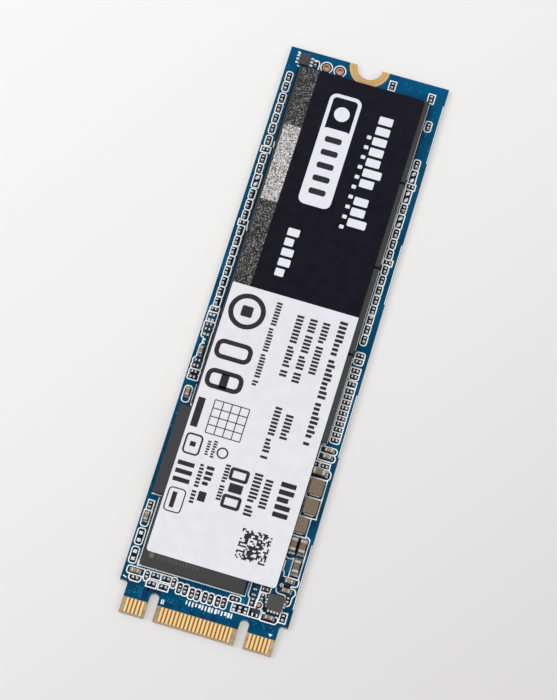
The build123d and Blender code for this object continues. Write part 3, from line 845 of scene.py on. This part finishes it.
def ring_paint(centre, radius):
    """Plated gold in faint bands round the screw notch, darkest at the rim of the notch."""
    paint = Paint("gold_ring", 0.45, 0.35)
    reach = paint.node("VectorMath", "Value", {0: paint.object_place()}, {1: centre * MM},
                       operation="DISTANCE")
    share = paint.node("MapRange", "Result", {"Value": reach}, {"From Max": radius * MM})
    paint.colour(paint.ramp(share, *ring_stops))
    paint.rough(paint.noise(7.0, 2.0), 0.38, 0.52)
    paint.bump(paint.noise(8.0, 2.0), 0.002)


for name, foot, head in mask_shades:
    mask_paint(name, foot, head)
coat("laminate_resin", (0.62,), (1.4, 2.0, (1, 1, 9)), laminate_stops, None, (9.0, 2.0), 0.006)
coat("finger_gap_resin_painted_shade", (0.55,), (4.0,), gap_shade_stops, None, (10.0,), 0.003)
finger_boxes = sorted(islands("contact_fingers_top"), key=lambda box: box[0].x)
finger_places = [middle(box).x for box in finger_boxes[:2]]
finger_paint(finger_places[0], finger_places[1] - finger_places[0])
ring_low, ring_high = node_box("screw_notch_ring")
ring_radius = (ring_high.x - ring_low.x) / 2
ring_paint(Vector(((ring_low.x + ring_high.x) / 2, ring_low.y + ring_radius, ring_high.z)), ring_radius)
for name, (dark, light, metallic, roughness, grain, relief) in metals.items():
    coat(name, (roughness, metallic, 0.6), (grain, 3.0), ((0.35, dark), (0.65, light)),
         ((grain * 0.7,), roughness - 0.07, roughness + 0.1), (grain * 1.5, 2.0), relief)
for name, (dark, light, grain, relief, roughness, specular) in grains.items():
    coat(name, (roughness, 0.0, specular), (grain, 4.0), ((0.34, dark), (0.66, light)),
         ((grain * 0.5,), roughness - 0.06, roughness + 0.06), (grain * 1.3, 3.0), relief)
# Tin of the leads, with painted shade along one axis of the card
for name, axis, span, stops in leads_with_painted_shade:
    paint = Paint(name, 0.42, 0.15, 0.6)
    paint.colour(paint.ramp(paint.along(axis, *span), *stops))
    paint.bump(paint.noise(9.0, 2.0), 0.003)
for name, roughness, stops in foil_shades:
    paint = Paint(name, roughness, 0.1)
    paint.colour(paint.ramp(paint.cells(foil_grain, foil_stretch), *stops))
    paint.bump(paint.cells(foil_grain, foil_stretch), 0.002)


# Stage, lamps and camera

def floor_piece():
    """A pale sheet, painted a little brighter where the lamp stands, whose shadows the camera sees lifted."""
    paint = Paint("pale_paper", 0.8, specular=0.2)
    slope = paint.node("Mapping", "Vector", {"Vector": paint.object_place()}, {
        "Location": (0.5, 0.5, 0.5), "Rotation": (0, 0, math.radians(floor_turn)), "Scale": (6.0, 6.0, 6.0)})
    sheet = paint.ramp(paint.node("SeparateXYZ", "X", {"Vector": slope}), *floor_painted_light_stops)
    paint.colour(sheet)
    paint.bump(paint.noise(0.6, 4.0), 0.01)
    seen, mirrored, through = (paint.node("LightPath", f"Is {kind} Ray")
                               for kind in ("Camera", "Glossy", "Transmission"))
    mirrored = paint.node("Math", "Value", {0: mirrored, 1: through}, operation="ADD")
    shown = paint.node("Math", "Value", {0: seen, 1: mirrored}, operation="ADD", use_clamp=True)
    share = paint.node("Math", "Value", {0: shown}, {1: floor_lift}, operation="MULTIPLY")
    glow = paint.node("Emission", "Emission", {"Color": sheet})
    joined = paint.node("MixShader", "Shader", {0: share, 1: paint.shader.outputs["BSDF"], 2: glow})
    paint.link(joined, paint.tree.nodes["Material Output"].inputs["Surface"])
    mesh = bpy.data.meshes.new("floor")
    build = bmesh.new()
    bmesh.ops.create_grid(build, x_segments=8, y_segments=8, size=floor_half * MM)
    bmesh.ops.translate(build, verts=build.verts, vec=(0, 0, -floor_drop * MM))
    build.to_mesh(mesh)
    build.free()
    mesh.materials.append(paint.material)
    add("floor", mesh)


def lamp(name, place, side, watts):
    light = bpy.data.lights.new(name, "AREA")
    light.shape = "SQUARE"
    light.size = side * MM
    light.energy = watts
    made = add(name, light)
    made.location = place * MM
    made.rotation_euler = (-place).to_track_quat("-Z", "Y").to_euler()


def sky():
    """Soft light from all round, dimmer straight overhead where the camera hangs."""
    world = bpy.data.worlds.new("studio")
    bpy.context.scene.world = world
    world.use_nodes = True
    tree = world.node_tree
    where, split, ramp = (tree.nodes.new("ShaderNode" + kind)
                          for kind in ("TexCoord", "SeparateXYZ", "ValToRGB"))
    fill_ramp(ramp, [(height, (level, level, level, 1)) for height, level in sky_stops])
    tree.links.new(where.outputs["Generated"], split.inputs["Vector"])
    tree.links.new(split.outputs["Z"], ramp.inputs["Fac"])
    tree.links.new(ramp.outputs["Color"], tree.nodes["Background"].inputs["Color"])
    tree.nodes["Background"].inputs["Strength"].default_value = sky_strength


def camera():
    data = bpy.data.cameras.new("photo_camera")
    data.lens = camera_lens
    data.sensor_width = sensor_long_side
    data.clip_start = camera_near * MM
    data.clip_end = camera_far * MM
    made = add("photo_camera", data)
    back = (camera_place - camera_target).normalized()
    side = Vector((0, 1, 0)).cross(back).normalized()
    turn = Matrix((side, back.cross(side), back)).transposed().to_4x4()
    roll = Matrix.Rotation(math.radians(camera_roll), 4, "Z")
    made.matrix_world = Matrix.Translation(camera_place * MM) @ turn @ roll
    bpy.context.scene.camera = made


floor_piece()
for lamp_row in lamps:
    lamp(*lamp_row)
sky()
camera()
bpy.context.scene.view_settings.view_transform = "Standard"


# Finish of the card's own nodes: materials, and rounded edges as tumbled ceramic and dipped metal have them

for skin, nodes in dressing.items():
    for node in nodes.split():
        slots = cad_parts[node].data.materials
        slots.clear()
        slots.append(skins[skin])
for node, width in softened.items():
    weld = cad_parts[node].modifiers.new("weld", "WELD")
    weld.merge_threshold = 0.0005 * MM
    round_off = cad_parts[node].modifiers.new("round", "BEVEL")
    round_off.width = width * MM
    round_off.segments = 2
    round_off.limit_method = "ANGLE"


# What the frame says about the board and its parts

board_low, board_high = node_box("solder_mask_top")
board_top = board_high.z
core_low, core_high = node_box("laminate_core")
memory_low, memory_high = node_box("buffer_memory_chip")
kinds = {kind: pair_up(islands(node), kind) for kind, node in end_nodes.items()}
small_chips, bare_pairs = kinds["small"], kinds["bare"]
label_low, label_high = node_box("label_film")

# The label hides the other parts, which carry no ink outline
shown = [chip for chips in kinds.values() for chip in chips
         if not (label_low.x < chip.middle.x < label_high.x and label_low.y < chip.middle.y < label_high.y)]


# White ink outlines on the board, each with the dark window of its lands inside, and black sheets of painted
# shade beside the chips and between the capacitors

ink = Shells()
windows = Shells()
wide_windows = Shells()
ink_count = 0


def stroke(path, closed=False, width=ink_width):
    """One stroke of white ink. Strokes that cross differ a hair in height."""
    global ink_count
    ink_count += 1
    proud = ink_proud + ink_step * (ink_count % ink_levels)
    ink.ribbon(path, width, board_top - sunk, board_top + proud, closed)


def cell(sides, radii, steps=corner_steps, field=windows):
    """A closed outline with a window inside it."""
    left, low, right, high = sides
    stroke(rounded(left, low, right, high, radii, steps), closed=True)
    inner = [max(radius - window_inset, 0) for radius in radii]
    field.plate(rounded(left + window_inset, low + window_inset, right - window_inset, high - window_inset,
                        inner, steps), window_proud)


def rungs(chips, end_reach):
    """Heights past the ends of a column of level parts, and between them."""
    places = [chip.middle.y for chip in chips]
    return [places[0] + end_reach, *((a + b) / 2 for a, b in zip(places, places[1:])), places[-1] - end_reach]


def ladder(chips):
    """Level parts one below the other in a frame with rungs, rounded where it ends in a capacitor."""
    edges = rungs(chips, ladder_end_reach)
    x = chips[0].ink_middle.x
    for i, chip in enumerate(chips):
        head = end_corner if i == 0 and chip.kind == "small" and chip.middle.y > 0 else 0
        foot = end_corner if i == len(chips) - 1 and chip.kind == "small" else 0
        cell((x - ladder_half_width, edges[i + 1], x + ladder_half_width, edges[i]), (foot, foot, head, head))


def split_runs(chips):
    """Parts of one column in runs, with a new run where the step is wider than a ladder's."""
    chips = from_head(chips)
    runs = [[chips[0]]]
    for above, chip in zip(chips, chips[1:]):
        if above.middle.y - chip.middle.y > ladder_reach:
            runs.append([])
        runs[-1].append(chip)
    return runs


def twin_of(chip):
    """The small capacitor close beside this part, or None."""
    for other in small_chips:
        beside = abs(other.middle.x - chip.middle.x) < twin_pitch
        if other is not chip and beside and abs(other.middle.y - chip.middle.y) < twin_step:
            return other
    return None


window_inset = ink_width / 2 + window_gap
end_corner = plain_outlines["small"][2]
fields = {"medium": wide_windows}
outlined = {id(nearest(kinds[kind], x, y)) for kind, x, y in stroked_parts}
for kind, x, y, left, down, right, up, radii, steps in special_outlines:
    chip = nearest(kinds[kind], x, y)
    outlined.add(id(chip))
    cell(chip.sides(left, down, right, up), radii, steps, fields.get(kind, windows))

# One outline round two level parts, whose sides swell at each part and draw in between them
pair = [nearest(shown, x, y) for x, y in bulging_pair]
outlined.update(id(chip) for chip in pair)
edges = rungs(pair, (pair[0].middle.y - pair[1].middle.y) / 2)
x = pair[0].ink_middle.x
waist = bulge_reach - bulge_pinch
right = []
for high, low in zip(edges, edges[1:]):
    right += [(waist, high), (bulge_reach, high - bulge_pinch), (bulge_reach, low + bulge_pinch)]
right.append((waist, edges[-1]))
stroke([(x + side, y) for side, y in right] + [(x - side, y) for side, y in reversed(right)], closed=True)
windows.box_plate(x - waist + window_inset, edges[-1] + window_inset, x + waist - window_inset,
                  edges[0] - window_inset, window_proud)

# Level parts in the two side columns stand in ladders
level_chips = [chip for chip in shown if chip.level and chip.kind in ("small", "resistor", "bare")
               and id(chip) not in outlined]
left_ladder = [chip for chip in level_chips if chip.middle.x < board_low.x + column_reach
               and chip.middle.y > memory_low.y]
right_ladder = [chip for chip in level_chips if chip.middle.x > board_high.x - column_reach
                and chip.middle.y > node_box("controller_chip")[1].y]
for column in (left_ladder, right_ladder):
    for run in split_runs(column):
        ladder(run)
        outlined.update(id(chip) for chip in run)

# The row of lands at the foot, and the three-lead chip beside it, share one frame
foot_row = [chip for chip in bare_pairs if chip.half_x + chip.half_y < wide_land_size * 2
            and chip.middle.y < memory_low.y]
switch_low, switch_high = node_box("load_switch", "load_switch_leads")
row_left = min(chip.middle.x for chip in foot_row) - row_side
row_right = (max(chip.middle.x for chip in foot_row) + switch_low.x) / 2
row_low = min(chip.middle.y for chip in foot_row) - row_drop
for left, right in ((row_left, row_right), (row_right, switch_high.x + switch_side)):
    cell((left, row_low, right, row_low + row_height), even(0))
outlined.update(id(chip) for chip in foot_row)

# All other parts have their plain outline, and twins share the line between them
for chip in shown:
    if id(chip) in outlined:
        continue
    along, across, corner = plain_outlines[chip.kind]
    if chip.kind == "bare" and chip.half_y > wide_land_size:
        along, across, corner = wide_land_outline
    reach_x, reach_y = (along, across) if chip.level else (across, along)
    left, low, right, high = chip.sides(reach_x, reach_y, reach_x, reach_y)
    twin = None if chip.level else twin_of(chip)
    if twin:
        between = (chip.middle.x + twin.middle.x) / 2
        left, right = (left, between) if chip.middle.x < between else (between, right)
    cell((left, low, right, high), even(corner), corner_steps, fields.get(chip.kind, windows))
left, down, right, up = inductor_outline
for number in (1, 2, 3):
    centre = middle(node_box(f"power_inductor_{number}"))
    cell((centre.x - left, centre.y - down, centre.x + right, centre.y + up), even(0), chamfer)

for path in board_strokes:
    stroke(cut_corners(path))
for path in closed_strokes:
    stroke(path, closed=True)
    wide_windows.plate(path, window_proud)
for path in thin_strokes:
    stroke(path, width=thin_ink_width)
for path in wide_strokes:
    stroke(path, width=wide_stroke_width)
for head, foot in edge_dashes:
    x = board_high.x - edge_dash_inset
    stroke(((x, head), (x, foot)), width=edge_dash_width)
for field, boxes in ((windows, black_windows_and_painted_shade), (wide_windows, teal_boxes)):
    for box in boxes:
        field.box_plate(*box, window_proud)
# Painted shade: black strips along both sides of each flash chip
for number in (1, 2, 3, 4):
    low, high = node_box(f"flash_chip_{number}")
    windows.box_plate(low.x - chip_shade_left, low.y, low.x + sunk, high.y, window_proud)
    windows.box_plate(high.x - sunk, low.y, high.x + chip_shade_right, high.y, window_proud)


def dark_ring(x, y, radius, width):
    windows.ribbon(circle(x, y, radius), width, board_top - sunk, board_top + window_proud, closed=True)


for box in islands("plated_test_holes"):
    x, y = (middle(box) + hole_ring_shift)[:2]
    stroke(arc(x, y, hole_ring_radius, *hole_ring_span))
    dark_ring(x, y, (hole_ring_radius + hole_land_radius) / 2, hole_ring_radius - hole_land_radius)

# Round test point: a dark ring, a white ring round it, and a small ring beside the parts above it
point = middle(node_box("round_test_point"))
dark_ring(point.x, point.y, *point_window)
stroke(circle(point.x, point.y, point_ring[0]), closed=True, width=point_ring[1])
stroke(circle(*small_ring[:3], 14), closed=True, width=small_ring[3])

# First-pin marks
ink.plate(circle(*pin_dot, 16), ink_proud)
tip_x, tip_y, tip_half, tip_drop = pin_tick
ink.plate([(tip_x, tip_y - tip_drop), (tip_x + tip_half, tip_y), (tip_x - tip_half, tip_y)], ink_proud)

# Plain blocks where the board carries its number
draw = random.Random(71)
x = lettering_left_x
while x < lettering_right_x:
    if draw.random() > lettering_gaps:
        low = lettering_low_y + draw.choice((0, 0, lettering_rise))
        right = x + lettering_pitch * draw.choice(lettering_widths)
        ink.plate(rounded(x, low, right, lettering_high_y, even(block_corner), 2), ink_proud)
    x += lettering_pitch
ink.make("board_ink_lines", "board_ink")
# The land windows and the black sheets of painted shade make one piece
windows.make("land_windows", "land_window", "solder_mask")
wide_windows.make("wide_land_windows", "wide_land_window", "solder_mask")


# Relief under the mask

deep = Shells()
bright = Shells()
for sides in deep_fields:
    deep.plate(rounded(*sides, even(field_corner)), field_proud)
for (low_x, low_y), (high_x, high_y), count, seed in via_areas:
    draw = random.Random(seed)
    for i in range(count):
        x = draw.uniform(low_x, high_x)
        y = draw.uniform(low_y, high_y)
        bright.loft([raised(circle(x, y, via_radius * share, 12), z) for share, z in (
            (1, board_top - sunk), (1, board_top + via_proud * via_crown),
            (via_crown, board_top + via_proud))])
for (x, y), (step_x, step_y), count in dash_rows:
    for i in range(count):
        start = Vector((x + i * step_x, y + i * step_y))
        end = start + Vector((dash_length, -dash_length)) * math.sqrt(0.5)
        bright.ribbon([tuple(start), tuple(end)], dash_width, board_top - sunk, board_top + via_proud)
bright.box_plate(*copper_box, window_proud)
deep.make("mask_fields", "mask_over_resin", "solder_mask")
bright.make("mask_vias", "mask_over_copper", "solder_mask")


# Solder: a collar round each terminal, a toe at the foot of each lead, and a dome on each bare land

def away_from(box, centre):
    """The side of its part on which a terminal stands."""
    away = middle(box) - centre
    if abs(away.x) > abs(away.y):
        return (int(math.copysign(1, away.x)), 0)
    return (0, int(math.copysign(1, away.y)))


def grown(box, toward, reach, side_x, side_y, corner):
    """The outline of a terminal, wider at its sides and longer towards one of them."""
    low, high = box
    left, foot, right, head = (reach * (toward == side) for side in ((-1, 0), (0, -1), (1, 0), (0, 1)))
    return rounded(low.x - side_x - left, low.y - side_y - foot, high.x + side_x + right,
                   high.y + side_y + head, even(corner), 2)


def collar(box, centre):
    """Solder that rises from a land to a terminal, hollow in section, on three of its sides."""
    toward = away_from(box, centre)
    size = box[1] - box[0]
    across = size.y if toward[0] else size.x
    rings = []
    for spread, rise in collar_steps:
        side = across * solder_side_share * spread + solder_side_least
        side_x, side_y = (0, side) if toward[0] else (side, 0)
        outline = grown(box, toward, across * solder_reach_share * spread, side_x, side_y, collar_corner)
        rings.append(raised(outline, board_top + rise * solder_rise_share * size.z))
    joints.loft(rings)


def toe(box, centre, reach):
    """Solder that runs out of the foot of a lead, away from the chip."""
    toward = away_from(box, centre)
    toes.loft([raised(grown(box, toward, reach * spread, toe_side, toe_side, block_corner),
                      board_top + toe_rise * rise) for spread, rise in toe_steps])


def dome(left, foot, right, head, seat, radii=even(block_corner), steps=2):
    rings = []
    for share in dome_steps:
        angle = share * math.pi / 2
        inset = (1 - math.cos(angle)) * dome_inset_share * min(right - left, head - foot)
        rings.append(raised(rounded(left + inset, foot + inset, right - inset, head - inset, radii, steps),
                            seat + solder_dome * math.sin(angle)))
    lands.loft(rings)


joints = Shells()
toes = Shells()
lands = Shells()
for kind in ("small", "medium", "large", "resistor"):
    for chip in kinds[kind]:
        for box in chip.ends:
            collar(box, chip.middle)
for chip in bare_pairs:
    x, y = chip.middle.x, chip.middle.y
    for low, high in chip.ends:
        foot, head = low.y, high.y
        if x > 0 and chip.half_y > wide_land_size:
            foot, head = max(foot, y - land_reach), min(head, y + land_reach)
        if chip.level or y < 0:
            dome(low.x, foot, high.x, head, high.z)
            continue
        foot, head = sorted(y + math.copysign(reach, low.y - y) for reach in (tall_land_near, tall_land_far))
        ink_x = chip.ink_middle.x
        dome(ink_x - tall_land_half, foot, ink_x + tall_land_half, head, high.z,
             (0, tall_land_cut, 0, tall_land_cut), chamfer)
for node, leads, reach in toe_nodes:
    centre = middle(node_box(node))
    for box in islands(leads):
        rise = middle(box).y - centre.y
        if node != "power_chip" or abs(rise) < power_toe_rise or rise < -power_toe_drop:
            toe(box, centre, reach)
joints.make("solder_joints", "solder_skin", "tinned_metal")
toes.make("lead_solder", "tin_plate", "tinned_metal")
lands.make("land_solder", "land_tin", "tinned_metal")


# Faint marking on the memory chip, in plain blocks, and its first-pin mark

marks = Shells()
dot = Shells()
mark_low, mark_high = memory_high.z - sunk, memory_high.z + window_proud
x = memory_low.x + marking_left
while x < memory_low.x + marking_right:
    marks.prism(rounded(x, memory_low.y + marking_foot, x + marking_block, memory_low.y + marking_head,
                        even(block_corner), 2), mark_low, mark_high)
    x += marking_pitch
dot.prism(circle(memory_low.x + dot_inset, memory_low.y + dot_rise, dot_radius, 20), mark_low, mark_high)
marks.make("chip_marking", "laser_marking", "mould_compound")
dot.make("first_pin_mark", "laser_disc", "mould_compound")


# Full grids of pressed round balls under the big chips

balls = Shells()
for node, pitch in ball_pitches.items():
    low, high = node_box(node)
    count_x, count_y = (int((high[i] - low[i] - ball_margin) / pitch) + 1 for i in range(2))
    centre = middle((low, high))
    for i in range(count_x):
        for j in range(count_y):
            x = centre.x + (i - (count_x - 1) / 2) * pitch
            y = centre.y + (j - (count_y - 1) / 2) * pitch
            rings = []
            for level in range(ball_rows + 1):
                rise = level / ball_rows
                bulge = math.sqrt(1 - (ball_waist * (2 * rise - 1)) ** 2)
                rings.append(raised(circle(x, y, ball_radius * bulge, ball_turns),
                                    board_top + rise * (low.z - board_top)))
            balls.loft(rings)
balls.make("ball_grids", "solder_skin", "tinned_metal", "solder_balls")


# Resin fields between the plated fingers, painted darker than the bare laminate as the shade between the
# fingers

gaps = Shells()
for node, low, high in (("contact_fingers_top", core_high.z - sunk, core_high.z + window_proud),
                        ("contact_fingers_bottom", core_low.z - window_proud, core_low.z + sunk)):
    fingers = sorted(islands(node), key=lambda box: box[0].x)
    for first, second in zip(fingers, fingers[1:]):
        if second[0].x - first[1].x < first[1].x - first[0].x:
            gaps.prism([(first[1].x, first[0].y), (second[0].x, first[0].y),
                        (second[0].x, first[1].y), (first[1].x, first[1].y)], low, high)
gaps.make("finger_gaps", "finger_gap_resin_painted_shade", "laminate")


# Label film and its print

angle = math.radians(label_turn)
across = Vector((math.cos(angle), math.sin(angle), 0))
along = Vector((-math.sin(angle), math.cos(angle), 0))
box_x, box_y = (label_high - label_low)[:2]
spread = math.cos(angle) ** 2 - math.sin(angle) ** 2
film_width = (box_x * math.cos(angle) + box_y * math.sin(angle)) / spread
film_length = (box_y * math.cos(angle) + box_x * math.sin(angle)) / spread
film_middle = middle((label_low, label_high))
film_top = label_high.z - label_proud


def on_label(outline):
    """Places on the label, turned with it."""
    return [(film_middle + across * (x - film_middle.x) + along * (y - film_middle.y))[:2]
            for x, y in outline]


def label_sheet():
    """The film, cut into its printed fields."""
    left = film_middle.x - film_width / 2
    low = film_middle.y - film_length / 2
    outline = on_label(rounded(left, low, left + film_width, low + film_length, even(label_corner),
                               label_corner_steps))
    build = bmesh.new()
    lower, upper = ([build.verts.new(point) for point in raised(outline, z)] for z in (label_low.z, film_top))
    for i in range(len(outline)):
        build.faces.new((lower[i - 1], lower[i], upper[i], upper[i - 1]))
    build.faces.new(lower[::-1])
    build.faces.new(upper)
    cuts = [(along, (0, y)) for y in (band_silver_head_y, band_silver_foot_y, white_head_y)]
    for normal, place in (*cuts, (across, (band_right_x, 0))):
        geometry = build.verts[:] + build.edges[:] + build.faces[:]
        bmesh.ops.bisect_plane(build, geom=geometry, plane_co=(*on_label([place])[0], 0), plane_no=normal)
    for face in build.faces:
        offset = face.calc_center_median() - film_middle
        x = film_middle.x + offset.dot(across)
        y = film_middle.y + offset.dot(along)
        band = 3 if band_silver_foot_y < y < band_silver_head_y else 2
        face.material_index = 0 if y < white_head_y else 1 if x > band_right_x else band
    bmesh.ops.scale(build, verts=build.verts, vec=(MM, MM, MM))
    mesh = bpy.data.meshes.new("label_sheet")
    build.to_mesh(mesh)
    build.free()
    settle("label_sheet", mesh, ("film_white", "film_navy", "foil_dark", "foil_silver"), "label_print",
           "label_film")


label_sheet()
dark_print = Shells()
pale_print = Shells()


def print_shape(shells, outline, layer=1):
    shells.prism(on_label(outline), film_top - sunk, film_top + layer * ink_layer)


def print_bar(shells, left, low, right, high, radius=0.0, layer=1):
    print_shape(shells, rounded(left, low, right, high, even(radius), 3), layer)


def print_stroke(shells, path, width, closed=False, layer=1):
    shells.ribbon(on_label(path), width, film_top - sunk, film_top + layer * ink_layer, closed)


def print_frame(shells, left, low, right, high, width, radius):
    print_stroke(shells, rounded(left, low, right, high, even(radius), 4), width, closed=True)


def block_line(shells, left, right, head, foot, pitch, seed, tall=0.4, fill=0.66):
    """Plain blocks in place of a line of words, from its head down to its foot."""
    draw = random.Random(seed)
    y = head
    run = draw.randint(*word_blocks)
    while y - pitch * fill > foot:
        top = right if draw.random() < tall else right - short_block_cut * (right - left)
        print_bar(shells, left, y - pitch * fill, top, y, pitch * word_block_corner)
        y -= pitch
        run -= 1
        if run == 0:
            y -= pitch * word_gap
            run = draw.randint(*word_blocks)


# Pale print on the dark field: a panel, blocks in two rows and a short word's place
print_frame(pale_print, *panel_sides, panel_frame_width, panel_corner)
left, low, right, high = panel_sides
rim = panel_frame_width / 2
print_bar(pale_print, left - rim, low - rim, right + rim, panel_window_y, panel_window_corner,
          panel_window_layer)
print_shape(pale_print, circle(*panel_disc))
for y in panel_bar_places:
    print_bar(dark_print, left + panel_bar_left, y - panel_bar_half, right - panel_bar_right,
              y + panel_bar_half, panel_bar_corner, panel_bar_layer)
for line in pale_lines:
    block_line(pale_print, *line)
y = small_block_head_y
while y > small_block_foot_y:
    print_bar(pale_print, small_block_x, y - small_block_height, small_block_x + small_block_width, y,
              small_block_corner)
    y -= small_block_pitch

# Dark print on the pale field: lines of blocks, a ring with a square, frames, a grid, bars and a mosaic
for left, right, head, foot, pitch, tall in print_lines:
    block_line(dark_print, left, right, head, foot, pitch, round(head * 10 + left * 100), tall)
for x, y, radius, width, steps in print_rings:
    print_stroke(dark_print, circle(x, y, radius, steps), width, closed=True)
for sides in print_frames:
    print_frame(dark_print, *sides)
for sides in print_bars:
    print_bar(dark_print, *sides)
left, low, right, high = grid_sides
for i in range(grid_count + 1):
    x = left + (right - left) * i / grid_count
    y = low + (high - low) * i / grid_count
    print_stroke(dark_print, [(x, low), (x, high)], grid_line)
    print_stroke(dark_print, [(left, y), (right, y)], grid_line, layer=grid_layer)
draw = random.Random(91)
left, low, right, high = mosaic_sides
step = (right - left) / mosaic_count
for row in range(mosaic_count):
    column = 0
    while column < mosaic_count:
        run = min(draw.choice((1, 1, 1, 2)), mosaic_count - column)
        if draw.random() < mosaic_share:
            print_bar(dark_print, left + column * step, low + row * step, left + (column + run) * step,
                      low + (row + 1) * step)
        column += run
dark_print.make("label_dark_print", "film_ink", "label_print")
pale_print.make("label_pale_print", "film_pale", "label_print")
